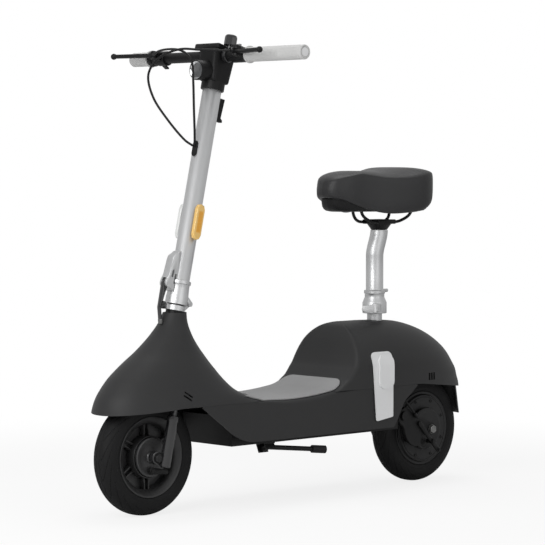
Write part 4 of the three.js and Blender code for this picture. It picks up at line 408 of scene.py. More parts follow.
def cowl_surface(level, angle):
    """At a height, an oval round the steering axis: reach x cos^(2/p) and half width x sin^(2/p),
    with p = 2 ahead of the axis and a squarer p behind it; the rim dips towards the nose."""
    z = cowl_height(level)
    c, s = np.cos(angle), np.sin(angle)
    ahead, behind = cowl_ahead * curve(cowl_rows, level, 1), cowl_behind * curve(cowl_rows, level, 2)
    reach = np.where(c >= 0, ahead, behind)
    power = 2 / np.where(c >= 0, 2, curve(cowl_rows, level, 4))
    x = head_ground - z * math.tan(rake) + reach * np.sign(c) * np.abs(c) ** power
    y = half_body * curve(cowl_rows, level, 3) * np.sign(s) * np.abs(s) ** power
    near_nose = np.clip((x - dip_start) / (nose_x - dip_start), 0, 1)
    return np.stack([x, y, z - nose_dip * near_nose * np.clip(1 - level / 0.25, 0, 1) ** 2], -1)


charcoal = finish(
    "charcoal_moulding", grey(0.024, 0.029, 3.0, 0.0005), uneven(0.46, 0.56, 6.0),
    grain=lambda p: p.noise(2200, 2.0) * 0.6 + p.noise(700, 2.0) * 0.4, deep=0.10, specular=0.22)
cowl_grid = drifted(cowl_surface(*crossed(np.linspace(0, 1, 120) ** 1.25, around(180))), 0, 3)
front_cowl = sheet("front_cowl_shell", cowl_grid, (394, 0, 200), shell_wall, ring=True)
slot_turn, slot_apart = math.radians(34), 8
for side in (-1, 1):
    for step in (-0.5 * slot_apart, 0.5 * slot_apart):
        middle = (384 + step * math.sin(slot_turn), side * half_body, 261 - step * math.cos(slot_turn))
        cutaway(front_cowl, box("slot_tool", (-11.5, -40, -2), (11.5, 40, 2), leaned(slot_turn, middle)))
dressed(front_cowl, charcoal, "frame", "front_cowl", 40)


# The rear cowl is the same moulding carried back: a hump over the rear wheel whose scooped front face
# meets the flanks in a softly rounded crease, with a hole for the seat tube and a vent a side.
floor_height, hump_height, seam_height, shoulder_height = 233.5, 393.0, 244.0, 290.0
hump_middle, hump_foot, face_lean, tail_reach, tail_edge = -235.0, -11.0, 155.0, 321.0, 221.0
face_shares = [
    [0, 0.034], [0.245, 0.066], [0.368, 0.105], [0.458, 0.16], [0.542, 0.216], [0.594, 0.273], [0.652, 0.342],
    [0.697, 0.398], [0.742, 0.511], [0.774, 0.63], [0.806, 0.762], [0.852, 0.875], [0.916, 0.956], [1.03, 1]]
hump_face = [[floor_height + up * (hump_height - floor_height), hump_foot - back * face_lean]
             for back, up in face_shares]
roof_rows = [
    [0, 1], [0.33, 0.971], [0.495, 0.901], [0.632, 0.802], [0.72, 0.709], [0.79, 0.616], [0.843, 0.529],
    [0.885, 0.436], [0.921, 0.349], [0.957, 0.262], [0.97, 0.174], [0.99, 0.087], [1, 0]]


def roof_height(x):
    """The roof line behind the hump's middle: a curve through the rows, over the tail's reach."""
    back = np.clip((hump_middle - x) / tail_reach, 0, 1)
    return tail_edge + curve(roof_rows, back) * (hump_height - tail_edge)


def bulge(share, power):
    """Height of a rounded arch at a share of its half width: (1 - share^p)^(1/p)."""
    return (1 - share**power) ** (1 / power)


# Powers of the hump's arches, where a circle has 2: its section is a little leaner, its plan squarer.
arch_power, plan_power = 1.85, 2.2


def hump_half(x, z):
    """Half width: an arch over the height above the shoulder, drawn in towards the tail by an arch
    over the way back to where the roof has that height."""
    backs = np.linspace(0, 1, 1500)
    reach = np.interp(-z, -roof_height(hump_middle - backs * tail_reach), backs)
    back = np.clip((hump_middle - x) / tail_reach, 0, None)
    s = np.clip(back / np.maximum(np.maximum(reach, back), 1e-9), 0, 1)
    t = np.clip((z - shoulder_height) / (hump_height - shoulder_height), 0, 1)
    return half_body * bulge(t, arch_power) * bulge(s, plan_power)


# Shares of the hump's surface: where its front crease lies, how much of its height is upright flank, and
# how much of its run comes before the tail; then the x from which its lower edge rises.
crease, wall_share, level_run, edge_rise_x = 0.1, 0.4, 0.45, -341.5


def hump_surface(u, v):
    """u runs from the middle of the front face over the crease to the tail, v up the right side from
    the seam, over the top and down the left side."""
    side = np.where(v < 0.5, -1, 1)
    climb = np.clip(1 - np.abs(2 * v - 1), 0, 1)
    shoulder = (shoulder_height - seam_height) / (hump_height - seam_height)
    turn = np.clip((climb - wall_share) / (1 - wall_share), 0, 1) * np.pi / 2
    over = shoulder + (1 - shoulder) * np.sin(turn) ** (2 / arch_power)
    up = np.where(climb < wall_share, shoulder * (climb / wall_share) ** 1.3, over)
    level = seam_height + up * (hump_height - seam_height)
    face_x = curve(hump_face, level)
    t = np.clip((u - crease) / (1 - crease), 0, 1)
    tail = hump_middle - tail_reach * np.sin(np.clip((t - level_run) / (1 - level_run), 0, 1) * np.pi / 2)
    x = np.where(t < level_run, face_x + (hump_middle - face_x) * t / level_run, tail)
    slope = np.clip((edge_rise_x - x) / (edge_rise_x - hump_middle + tail_reach), 0, None)
    edge = seam_height - slope * (seam_height - tail_edge)
    roof = roof_height(x)
    z = np.minimum(edge + up * (roof - edge), roof)
    flank = np.where((climb >= 1) | (t >= 1), 0, hump_half(x, z))
    front = np.where(climb >= 1, 0, hump_half(hump_middle, level)) * u / crease
    on_face = u <= crease
    return np.stack([
        np.where(on_face, face_x, x), side * np.where(on_face, front, flank),
        np.where(on_face, level, np.maximum(z, tail_edge))], -1)


# The frame's three directions: ahead, to the left and up.
x_way, y_way, z_way = np.eye(3)


def turned(name, rows, base, line, count=96, loop=False):
    """A lathe shape: rows of radius and height along a line from the base, in millimetres, with
    r (cos a, sin a) across it; loop closes the rows into a ring."""
    rows, line = np.array(rows, float), line / np.linalg.norm(line)
    across = np.cross(line, y_way if abs(line[1]) < 0.9 else x_way)
    across /= np.linalg.norm(across)
    angle = around(count)[:, None]
    ring = np.cos(angle) * across + np.sin(angle) * np.cross(line, across)
    points = base + rows[:, 1, None, None] * line + rows[:, 0, None, None] * ring
    return mesh_object(name, points, [cells(len(rows), count, ring=True, loop=loop)])


def rod(name, start, end, radius, count=48):
    """A round bar with flat ends between two points."""
    line = np.subtract(end, start)
    length = np.linalg.norm(line)
    return turned(name, [(0, 0), (radius, 0), (radius, length), (0, length)], start, line, count)


roof_start = crease + (1 - crease) * level_run
face_u = np.linspace(0, crease, 25)[:-1]
flank_u = np.linspace(crease, roof_start, 31)[:-1]
tail_u = np.linspace(roof_start, 1, 71)
hump_grid = hump_surface(*crossed(np.concatenate([face_u, flank_u, tail_u]), np.linspace(0, 1, 181)))
rear_cowl = sheet("rear_cowl_shell", drifted(hump_grid, 0, 2), (-256, 0, 200), shell_wall)
post_x = -289
cutaway(rear_cowl, rod("tube_tool", (post_x, 0, 300), (post_x, 0, 420), 19.5))
for side in (-1, 1):
    for step in range(3):
        low = (-393 + step * 9.5, side * half_body - 30, 250)
        cutaway(rear_cowl, box("vent_tool", low, np.add(low, (6.5, 60, 17))))
dressed(rear_cowl, charcoal, "frame", "rear_cowl", 45)


# The side skirts close the body below the seam: charcoal mouldings with a round upper edge beside the
# floor, the rear wheel's arch cut into their tail and the front edge swept up to the cowl.
arch_start, kink_x, belly, floor_front = -322.0, 350.0, 149.0, 196.0
# How far the arch's curve and the sweep up to the cowl reach, the radius of the upper edge, the height of
# the cowl's lower edge, and the gap between mouldings.
arch_run, sweep_run, edge_round, cowl_edge, seam_gap = 78.0, 173.0, 10.0, 236.7, 0.3
levels = np.linspace(floor_height, hump_height, 900)
face_at = curve(hump_face, levels)


def floor_line(x):
    """Height of the floor's face: the hump's face behind its foot, a dip and a rise ahead of it."""
    share = np.clip((x - hump_foot) / (floor_front - hump_foot), 0, 1)
    dip = (hump_face[0][0] - floor_height) * np.clip(1 - share / 0.5, 0, None) ** 2
    rise = curve([[0, 0], [0.3, 0.01], [0.55, 0.1], [0.8, 0.75], [1, 1]], share) * 2.9
    return np.where(x > hump_foot, floor_height + dip + rise, np.interp(-x, -face_at, levels))


def skirt_half(x):
    """Half width: an arch of power 8 behind the steering axis, but never below 0.985 of the body's."""
    back = np.clip((head_ground - cowl_low * math.tan(rake) - x) / cowl_behind, 0, 1)
    return half_body * np.maximum(0.985, bulge(back, 8))


def round_share(x):
    """1 beside the floor, fading to 0 at the hump and at the cowl."""
    return np.clip(np.minimum(x - hump_foot + half_body, floor_front - x) / half_body, 0, 1)


def skirt_surface(u, v):
    """u runs from the arch to the kink, v up the wall and then a quarter turn over the edge."""
    x = arch_start + (kink_x - arch_start) * u
    ahead = np.clip((x - hump_foot) / (floor_front - hump_foot), 0, 1) ** 3
    beside_floor = np.minimum(floor_line(x), seam_height) * (1 - ahead) + (cowl_edge - seam_gap) * ahead
    top = np.where(x >= floor_front, cowl_edge, beside_floor - seam_gap)
    back = curve([[0, 1], [0.22, 0.85], [0.56, 0.62], [0.78, 0.3], [1, 0]],
                 np.clip((x - arch_start) / arch_run, 0, 1))
    front = curve([[0, 0], [0.22, 0.03], [0.45, 0.2], [0.7, 0.56], [1, 1]],
                  np.clip((x - kink_x + sweep_run) / sweep_run, 0, 1))
    bottom = belly + (top - 3 - belly) * np.maximum(back, front)
    radius = np.minimum(edge_round, top - bottom) * round_share(x)
    turn = np.clip((v - wall_share) / (1 - wall_share), 0, 1) * np.pi / 2
    z = np.where(v < wall_share, bottom + (top - radius - bottom) * v / wall_share,
                 np.maximum(top - radius - 3, top - radius + radius * np.sin(turn)))
    return np.stack([x, skirt_half(x) - radius * (1 - np.cos(turn)), z], -1)


skirt_grid = skirt_surface(*crossed(np.linspace(0, 1, 160), np.linspace(0, 1, 26)))
for side, name in ((1, "left"), (-1, "right")):
    skirt = sheet(f"skirt_{name}", skirt_grid * (1, side, 1), (44, 0, 190), shell_wall)
    dressed(skirt, charcoal, "frame", f"side_skirt_{name}", 40)


# The floor plate is a charcoal moulding between the skirts, bent to the floor line; the grey rubber mat
# lies on it, runs up the hump's foot with round corners and turns up against the cowl's foot.
deck_u, deck_v = crossed(np.linspace(0, 1, 120), np.linspace(-1, 1, 21))
deck_rear = curve(hump_face, seam_height)
deck_x = deck_rear + (floor_front - deck_rear) * deck_u
deck_half = skirt_half(deck_x) - np.maximum(edge_round * round_share(deck_x), 3) - seam_gap
deck_grid = np.stack([deck_x, deck_half * deck_v, floor_line(deck_x) - seam_gap], -1)
deck = sheet("floor_plate", deck_grid, (-6, 0, -5000), shell_wall)
dressed(deck, charcoal, "frame", "deck_plate", 40)

mat_grey = finish(
    "mat_rubber", grey(0.27, 0.31, 5.0, 0.002), uneven(0.62, 0.8, 14.0),
    grain=lambda p: p.cells(260).band(0.15, 0.45) * 0.5 + p.noise(1800, 2.0) * 0.3, deep=0.35)
# Half width, corner radius, rear end, height of the end on the cowl's foot, and thickness.
mat_half, mat_corner, mat_rear_x, mat_top, mat_wall = 98.5, 30.0, -92.0, 249.0, 2.6


def foot_line(level, y):
    """The cowl's rear face at a level: how far ahead it stands at a distance from the middle."""
    inset = np.clip(np.abs(y) / (half_body * curve(cowl_rows, level, 3)), 0, 1)
    reach = cowl_behind * curve(cowl_rows, level, 2) * bulge(inset, curve(cowl_rows, level, 4))
    return head_ground - cowl_height(level) * math.tan(rake) - reach


def foot_level(x, y):
    """The cowl's level whose foot passes a point, found from a table of levels for each point, and the
    foot of its lowest level there."""
    level = np.linspace(0, 0.2, 260)[:, None]
    foot = foot_line(level, y.ravel())
    near = np.argmin(np.abs(foot - x.ravel()), 0)
    return level[near, 0].reshape(x.shape), foot[0].reshape(x.shape)


mat_u, mat_v = crossed(np.linspace(0, 1, 130), np.linspace(-1, 1, 81))
mat_y = mat_half * mat_v
past = np.clip(np.abs(mat_y) - mat_half + mat_corner, 0, mat_corner)
mat_rear = mat_rear_x + mat_corner - np.sqrt(mat_corner**2 - past**2)
mat_front = foot_line((mat_top - cowl_low) / (cowl_high - cowl_low), mat_y)
mat_x = mat_rear + (mat_front - mat_rear) * mat_u
mat_level, foot_low = foot_level(mat_x, mat_y)
mat_z = np.where(mat_x <= foot_low, floor_line(mat_x) + 0.9, cowl_height(mat_level) + 1.4) + mat_wall
mat_grid = drifted(np.stack([mat_x, mat_y, mat_z], -1), 0, 1)
floor_mat = sheet("floor_mat", mat_grid, (-6, 0, -5000), mat_wall)
dressed(edged(floor_mat, 0.7, 2, 50), mat_grey, "frame", "deck_mat", 40)


# A pale plate covers the left flank of the hump, and the round-cornered cap of the charge port sits
# on it, over a round hole. Both are light grey satin plastic that follows the flank's curve.
pale_grey = finish(
    "pale_plastic", tinted((0.76, 0.765, 0.77), (0.81, 0.815, 0.82), 4.0), uneven(0.4, 0.52, 9.0),
    grain=1500, deep=0.08)


def flank_sheet(low, rise, high, front, front_top, rear, corner, foot_corner, lift):
    """u runs up the plate and v back along it; near its ends the sides draw in on a corner's circle:
    inset = c - sqrt(c^2 - (c - e)^2), e the distance from the end. The lower edge rises to the rear."""
    even = np.linspace(0, 1, 90)
    u, v = crossed(0.3 * even + 0.35 * (1 - np.cos(np.pi * even)), np.linspace(0, 1, 30))
    z = low + rise * v + (high - low - rise * v) * u
    inset = 0
    for edge, radius in ((high - z, corner), (z - low - rise * v, foot_corner)):
        edge = np.clip(edge, 0, radius)
        inset = np.maximum(inset, radius - np.sqrt(np.clip(radius**2 - (radius - edge) ** 2, 0, None)))
    ahead = front + (front_top - front) * u - inset
    x = ahead - (ahead - rear - inset) * v
    return np.stack([x, hump_half(hump_middle + 0 * x, z) + lift, z], -1)


for name, sizes, wall, body, node, round_by in (
        ("flank_plate", (168, 6.4, 326, -181, -168, -235, 12, 3, 3.6), 3, "frame", "port_panel", 0.8),
        ("charge_cap", (241, 0, 320, -186, -186, -234, 18, 18, 8.4), 4.5, "cap", "port_cap", 0.9)):
    pale_plate = sheet(name, flank_sheet(*sizes), (-206, 0, 250), wall)
    if node == "port_panel":
        cutaway(pale_plate, rod("socket_hole", (-210, 106, 268), (-210, 122, 268), 10))
    dressed(edged(pale_plate, round_by, 3, 50), pale_grey, body, node, 50)


# The mudflap is a thin black sheet of soft plastic that hangs inside the tail's edge and flares out;
# it is bent round the wheel, and its lower corners are round.
black = finish(
    "black_plastic", grey(0.005, 0.008, 5.0, 0.0003), uneven(0.4, 0.55, 8.0),
    grain=1600, deep=0.12, specular=0.2)
# Where its bend is centred, the bend's radius, how far the foot stands out, and the foot's and top's height.
flap_x, flap_round, flap_flare, flap_foot, flap_top = -507, 44, 13, 155, 231
u, v = crossed(np.linspace(0, 1, 24), np.linspace(-1, 1, 50))
flap_low = flap_foot + 12 * (1 - np.sqrt(1 - np.abs(v) ** 6))
flap_z = flap_low + (flap_top - flap_low) * u
hang = (flap_top - flap_z) / (flap_top - flap_foot)
flap_grid = np.stack([
    flap_x - flap_round * np.cos(1.15 * v) - flap_flare * hang, flap_round * np.sin(1.15 * v), flap_z], -1)
flap = sheet("mudflap_sheet", flap_grid, (-486, 0, 200), 3)
dressed(edged(flap, 0.8, 2, 50), black, "frame", "mudflap", 40)


# The tyres are black rubber with a round crown, long curved grooves over each shoulder and a wavy
# groove either side of the middle; a fine ridge runs round beside the rim.
rubber = finish(
    "tyre_rubber", grey(0.008, 0.012, 9.0, 0.0003), uneven(0.55, 0.75, 12.0),
    grain=lambda p: p.noise(1400, 3.0), deep=0.3, specular=0.14)
tyre_half = np.array([
    (127.5, 0), (127, 8), (124.5, 16), (119.5, 22.5), (113, 26.4), (104, 28), (95, 27.6), (89.5, 26)])
tyre_run = np.concatenate([[0], np.cumsum(np.linalg.norm(np.diff(tyre_half, axis=0), axis=1))])
tyre_rows = np.column_stack([tyre_run / tyre_run[-1], tyre_half])
front_axle, rear_axle = (wheel_x, 0, tyre_radius), (-wheel_x, 0, tyre_radius)
# Shoulder grooves a turn, their depth and half width, and the half width of the wavy groove.
grooves, groove_deep, groove_half, middle_half = 18, 1.6, 1.7, 1.4


def both_sides(half):
    """A loop of rows from its left half: the same rows mirrored follow."""
    half = np.asarray(half, float)
    return np.concatenate([half, (half * (1, -1))[::-1]])


def wheel_point(centre, radius, y, angle):
    """A point at a radius and an angle round a wheel's middle, y to the left."""
    return upright(centre[0] + radius * np.cos(angle), y, centre[2] + radius * np.sin(angle))


def tyre_surface(across, angle, centre):
    """The half profile read at |across| and mirrored, sunk along its normal by the grooves:
    depth = deep (1 - (d/half)^2)^2 for d the distance from the nearest groove's line."""
    t = np.abs(across)
    r, y = curve(tyre_rows, t, 1), curve(tyre_rows, t, 2)
    low, high = np.clip(t - 0.01, 0, 1), np.clip(t + 0.01, 0, 1)
    slope_r, slope_y = (curve(tyre_rows, high, k) - curve(tyre_rows, low, k) for k in (1, 2))
    size = np.hypot(slope_r, slope_y)
    pitch = 2 * np.pi / grooves
    line = 0.62 * np.clip((t - 0.12) / 0.5, 0, 1) ** 1.6 + np.where(across < 0, pitch / 2, 0)
    apart = np.abs((angle - line + pitch / 2) % pitch - pitch / 2) * r * 0.62
    shown = np.clip((t - 0.13) / 0.04, 0, 1) * np.clip((0.66 - t) / 0.05, 0, 1)
    side = np.clip(1 - (apart / groove_half) ** 2, 0, 1) ** 2 * shown
    wave = 5 + 1.5 * np.sin(2 * grooves * angle)
    middle = np.clip(1 - ((y - wave) / middle_half) ** 2, 0, 1) ** 2
    ridge = 0.7 * np.exp(-(((r - 96.5) / 0.9) ** 2))
    depth = groove_deep * np.maximum(side, middle) - ridge
    return wheel_point(
        centre, r - depth * slope_y / size, (y + depth * slope_r / size) * np.sign(across), angle)


across, angle = crossed(np.linspace(-1, 1, 90), around(900))
inner = both_sides([(89.5, 26), (87.8, 23.2), (82.3, 23.2), (82.3, 15), (96, 21), (112, 19.5), (121.5, 9)])
for name, centre, body in (("front_tyre", front_axle, "front_wheel"), ("rear_tyre", rear_axle, "rear_wheel")):
    grid = np.concatenate([
        tyre_surface(across, angle, centre), wheel_point(centre, inner[:, :1], inner[:, 1:], around(900))])
    tyre = mesh_object(name + "_rubber", grid, [cells(len(grid), 900, ring=True, loop=True)])
    dressed(tyre, rubber, body, name, 50)


# The front rim is a dark painted casting: a rounded flange, a deep well, a drum in the middle and six
# spokes, each two ribs with a web between them. The valve stands between two of the spokes.
painted = finish(
    "rim_paint", grey(0.022, 0.029, 7.0, 0.0005), uneven(0.34, 0.46, 10.0), 0.35,
    grain=900, deep=0.1)


def slot_outline(a, b, radius_a, radius_b, steps=14):
    """A band with round ends: half turns of the two radii about its two ends."""
    a, b = np.asarray(a, float), np.asarray(b, float)
    turn = math.atan2(b[1] - a[1], b[0] - a[0]) + np.linspace(-np.pi / 2, np.pi / 2, steps)
    half = np.stack([np.cos(turn), np.sin(turn)], -1)
    return np.concatenate([b + radius_b * half, a - radius_a * half])


def plate(name, outline, near, far, place=upright):
    """A flat piece: an outline carried from near to far across it."""
    outline = np.asarray(outline, float)
    n = len(outline)
    i = np.arange(n)
    points = np.concatenate([place(outline[:, 0], end, outline[:, 1]) for end in (near, far)])
    sides = np.stack([i, (i + 1) % n, n + (i + 1) % n, n + i], -1)
    return mesh_object(name, points, [sides, [range(n)], [range(n, 2 * n)]])


def merged(name, *pieces):
    """Several mesh objects written into one, with their modifiers."""
    whole = bmesh.new()
    for piece in pieces:
        settled(piece)
        whole.from_mesh(piece.data)
        bpy.data.objects.remove(piece)
    mesh = bpy.data.meshes.new(name)
    whole.to_mesh(mesh)
    whole.free()
    return placed(name, mesh)


rim_half = [
    (70.3, 9), (71.5, 14), (75, 18.5), (79.5, 21.8), (83, 24.4), (85.4, 25.9), (87, 26.2), (87.9, 25.6),
    (87.9, 24.2), (87.2, 23.5), (82, 23.3), (82, 14.8), (76, 9), (74, 6)]
drum_rows = [
    (46.5, 21.2), (45.8, 22.2), (44.2, 22.2), (43.6, 21.2), (43.6, 2), (20, 2), (20, -2), (20, -22),
    (24, -24), (40, -24), (45.8, -23), (46.5, -21.5)]
pieces = [
    turned("rim_ring", both_sides(rim_half), front_axle, y_way, 180, True),
    turned("drum", drum_rows, front_axle, y_way, 96, True),
    turned("boss", [(7, 2.2), (20.2, 2.2), (20.2, -22.2), (7, -22.2)], front_axle, y_way, 48, True)]
for k in range(6):
    outward = leaned(math.pi / 2 + k * math.pi / 3, front_axle)
    for low, high, near, far in ((-7.5, -4, -8, 10.5), (4, 7.5, -8, 10.5), (-7, 7, -8, 1.5)):
        rib = [(44, low * 1.25), (58, low), (72.5, low), (72.5, high), (58, high), (44, high * 1.25)]
        pieces.append(edged(plate("rib", rib, near, far, outward), 0.9, 2, 50))
foot, head = (wheel_point(front_axle, radius, 5, math.radians(-155)) for radius in (71, 50))
valve_rows = [(0, 0), (4, 0), (4, 4), (2.6, 6), (2.6, 15), (3.2, 15.5), (3.2, 21), (0, 21)]
pieces.append(turned("valve", valve_rows, foot, head - foot, 20))
pieces.append(turned("web", [(45, -8), (75, -8), (75, -3.2), (45, -3.2)], front_axle, y_way, 96, True))
dressed(merged("front_rim_casting", *pieces), painted, "front_wheel", "front_rim", 40)


# Brake drums: each backing plate is a dished pressing on the axle with a raised rim and a boss for
# the cam; the front one rides on the fork's legs, the rear one on the frame.
dark_metal = finish(
    "dark_cast_metal", grey(0.022, 0.032, 12.0, 0.0005), uneven(0.38, 0.5, 14.0), 0.6,
    grain=lambda p: p.noise(1100, 3.0), deep=0.15, specular=0.25)
dish_metal = finish(
    "dish_metal", grey(0.05, 0.075, 12.0, 0.001), uneven(0.35, 0.5, 14.0), 0.7,
    grain=lambda p: p.noise(1100, 3.0), deep=0.15)
front_plate_rows = [
    (6.4, 29.6), (11, 29.6), (12.5, 28.4), (13.5, 26.4), (22, 25.4), (31, 25.6), (36, 27.4), (40, 28),
    (42.3, 27), (43, 24.5), (43, 22.7), (6.4, 22.7)]
rear_plate_rows = [
    (6.4, 43.6), (13, 43.6), (14.5, 42), (15.5, 40.6), (30, 40), (40, 40.8), (45, 42.2), (48.6, 41.4),
    (50, 39), (50, 36.7), (6.4, 36.7)]
front_plate = turned("front_plate", front_plate_rows, front_axle, y_way, 96, True)
rear_plate = turned("rear_plate", rear_plate_rows, rear_axle, y_way, 96, True)
dressed(front_plate, dish_metal, "fork_slider", "front_drum_plate", 30)
dressed(rear_plate, dark_metal, "frame", "rear_drum_plate", 30)


# The rear wheel is a hub motor in a dark cast rim: on either side a flat cover with a turned groove
# near its edge, a raised hub and a circle of eight screws.
hub_half = [
    (7, 36), (28.6, 36), (29.8, 35), (30, 33.2), (31.5, 31.9), (34, 31.4), (58, 31), (73.4, 30.7),
    (74, 29.7), (75.4, 29.7), (76, 30.6), (78.6, 30.2), (80, 28.6), (80.4, 26.6), (81.5, 25.6),
    (84.5, 25.8), (86.6, 26.2), (87.8, 25.4), (87.8, 24.2), (87.2, 23.5), (82, 23.3), (82, 14.8), (76, 9),
    (74, 6)]
screw_rows = [(0, 0), (3.6, 0), (3.6, 1.5), (3, 2.2), (1.9, 2.2), (1.9, 0.9), (0, 0.9)]
pieces = [turned("hub", both_sides(hub_half), rear_axle, y_way, 180, True)]
for side in (-1, 1):
    for turn in around(8) + math.pi / 8:
        foot = wheel_point(rear_axle, 68, side * 30.6, turn)
        pieces.append(turned("screw", screw_rows, foot, side * y_way, 20))
dressed(merged("rear_hub_casting", *pieces), dark_metal, "rear_wheel", "rear_hub", 30)


# The rear arms are thick black steel plates, hooked under the axle; the axle's shaft ends, washers and
# nuts are zinc.
steel = finish(
    "zinc_steel", tinted((0.15, 0.15, 0.148), (0.24, 0.24, 0.236), 60.0), uneven(0.3, 0.45, 80.0), 0.9,
    grain=2500, deep=0.1)


def spline(p, steps):
    """A Catmull-Rom line through a row of points, from the second to the last but one, so many steps
    for each stretch."""
    t = np.linspace(0, 1, steps, endpoint=False)[None, :, None]
    a, b, c, d = (q[:, None, :] for q in (p[:-3], p[1:-2], p[2:-1], p[3:]))
    line = 0.5 * (2 * b + (c - a) * t + (2 * a - 5 * b + 4 * c - d) * t**2 + (3 * b - a - 3 * c + d) * t**3)
    return line.reshape(-1, p.shape[1])


def smoothed(outline, steps=6):
    """A closed outline drawn through its points as a spline."""
    p = np.asarray(outline, float)
    return spline(np.concatenate([p[-1:], p, p[:2]]), steps)


def axle_pieces(at, half, face, wall):
    """A shaft from side to side with a washer and a nut at each end; at gives a point of the axle,
    face and wall say where the washer starts and how thick it is."""
    made = [rod("shaft", at(-half), at(half), 6, 32)]
    for side in (-1, 1):
        made.append(rod("washer", at(side * face), at(side * (face + wall)), 11, 40))
        nut = [(0, 0), (10.4, 0), (10.4, 5), (9.2, 6), (0, 6)]
        made.append(edged(turned("nut", nut, at(side * (face + wall - 0.2)), side * y_way, 6), 0.4, 2, 20))
    return made


arm_outline = smoothed([
    (96, 55), (84, 57), (50, 34), (16, 18), (4, 17), (-9, 14), (-16, 4), (-15, -7), (-7, -14), (4, -16),
    (18, -12), (29, -14), (36, -22), (38, -34), (43, -37), (60, -36), (76, -27), (88, -10), (95, 10),
    (108, 22), (113, 34), (110, 48)]) + (-wheel_x, tyre_radius)
for side, name in ((1, "left"), (-1, "right")):
    arm = edged(plate(f"rear_arm_{name}_plate", arm_outline, side * 50, side * 58), 1.2, 3, 40)
    dressed(arm, black, "frame", f"rear_arm_{name}", 40)
pieces = axle_pieces(lambda y: upright(-wheel_x, y, tyre_radius), 66, 58.4, 1.4)
dressed(merged("rear_axle_steel", *pieces), steel, "frame", "rear_axle", 30)


# Brake arms are black steel levers on the cams, pulled by cables; the rear cable comes out of the
# hump and ends at its arm.
def capped(name, rings):
    """A closed body over a grid of rings, its first and last ring filled."""
    n, count = rings.shape[:2]
    return mesh_object(name, rings, [
        cells(n, count, ring=True), [range(count)], [range((n - 1) * count, n * count)]])


def tube(name, points, radius, count=14, steps=16):
    """A round cord through the points: a Catmull-Rom line with a circle carried along it, its frame
    turned as little as possible from each station to the next."""
    p = np.asarray(points, float)
    line = spline(np.concatenate([[2 * p[0] - p[1]], p, [2 * p[-1] - p[-2]]]), steps)
    line = np.concatenate([line, p[-1:]])
    along = np.gradient(line, axis=0)
    along /= np.linalg.norm(along, axis=1, keepdims=True)
    side = np.zeros_like(line)
    side[0] = np.cross(along[0], (0.3, 0.2, 0.9))
    side[0] /= np.linalg.norm(side[0])
    for k in range(1, len(line)):
        side[k] = side[k - 1] - along[k] * (side[k - 1] @ along[k])
        side[k] /= np.linalg.norm(side[k])
    angle = around(count)[:, None]
    ring = np.cos(angle) * side[:, None] + np.sin(angle) * np.cross(along, side)[:, None]
    return capped(name, line[:, None] + radius * ring)


def band(name, a, b, radii, near, far, edge, segments=2, place=tilted):
    """A flat bar with round ends between two points of its outline, its edges rounded."""
    return edged(plate(name, slot_outline(a, b, *radii), near, far, place), edge, segments, 40)


def pin(name, u, w, near, far, radius, count=24, place=tilted):
    """A round bar across, from near to far."""
    return rod(name, place(u, near, w), place(u, far, w), radius, count)


cam_x, cam_z = -wheel_x + 0.3, tyre_radius - 29.5
foot_x, foot_z = -wheel_x - 21, tyre_radius - 51.5
tip_x, tip_z = -wheel_x + 44, tyre_radius + 16.5
pieces = [
    band("blade", (foot_x, foot_z), (tip_x, tip_z), (5.5, 5.5), 58.6, 63.6, 0.8, place=upright),
    pin("cam_nut", cam_x, cam_z, 58.6, 65, 7, 6, upright),
    pin("cam_end", cam_x, cam_z, 44.4, 67, 5, 24, upright),
    pin("anchor", foot_x, foot_z, 57.6, 66.5, 4, 24, upright)]
dressed(merged("rear_brake_lever", *pieces), black, "rear_arm", "rear_brake_arm", 40)
axle_level = 126.35
cam_u, cam_w = 17.4, axle_level - 29
pieces = [
    band("front_blade", (cam_u, cam_w), (cam_u - 40, cam_w + 4), (7, 5.5), 30.4, 35.4, 0.8),
    pin("front_cam", cam_u, cam_w, 30.5, 38, 4.5)]
dressed(merged("front_brake_lever", *pieces), black, "front_arm", "front_brake_arm", 40)
cable_points = [(-300, 46, 236), (-316, 58, 212), (-334, 63, 196), (-352, 63, 178), (-372, 62, 158)]
ferrule_rows, ferrule_foot = [(0, 0), (4, 0), (4, 12), (3, 13), (0, 13)], (-360, 63, 170)
ferrule = turned("ferrule", ferrule_rows, ferrule_foot, np.subtract(cable_points[-1], ferrule_foot), 24)
cord = tube("rear_cord", cable_points, 2.6)
dressed(merged("rear_brake_cord", cord, ferrule), black, "frame", "rear_cable", 40)


# The fork is black: a crown plate with the stanchions, and two slim gloss legs that slide on them,
# each with a dust seal, a lug for the axle and its nut.
gloss_black = finish(
    "gloss_black", grey(0.012, 0.017, 8.0, 0.001), uneven(0.16, 0.24, 10.0),
    grain=1500, deep=0.04, coat=0.3)
mast = tilted(0, 0, 1) - tilted(0, 0, 0)
leg_apart = 52
leg_rows = [
    (0, 0), (8, 0), (11, 2), (12.2, 5), (12.2, 100), (13.2, 102), (13.2, 112), (12, 114), (9.8, 114),
    (9.8, 90), (0, 90)]


def stud(name, u, y, low, high, radius, count=48):
    """A round bar along the steering axis, from low to high."""
    return rod(name, tilted(u, y, low), tilted(u, y, high), radius, count)


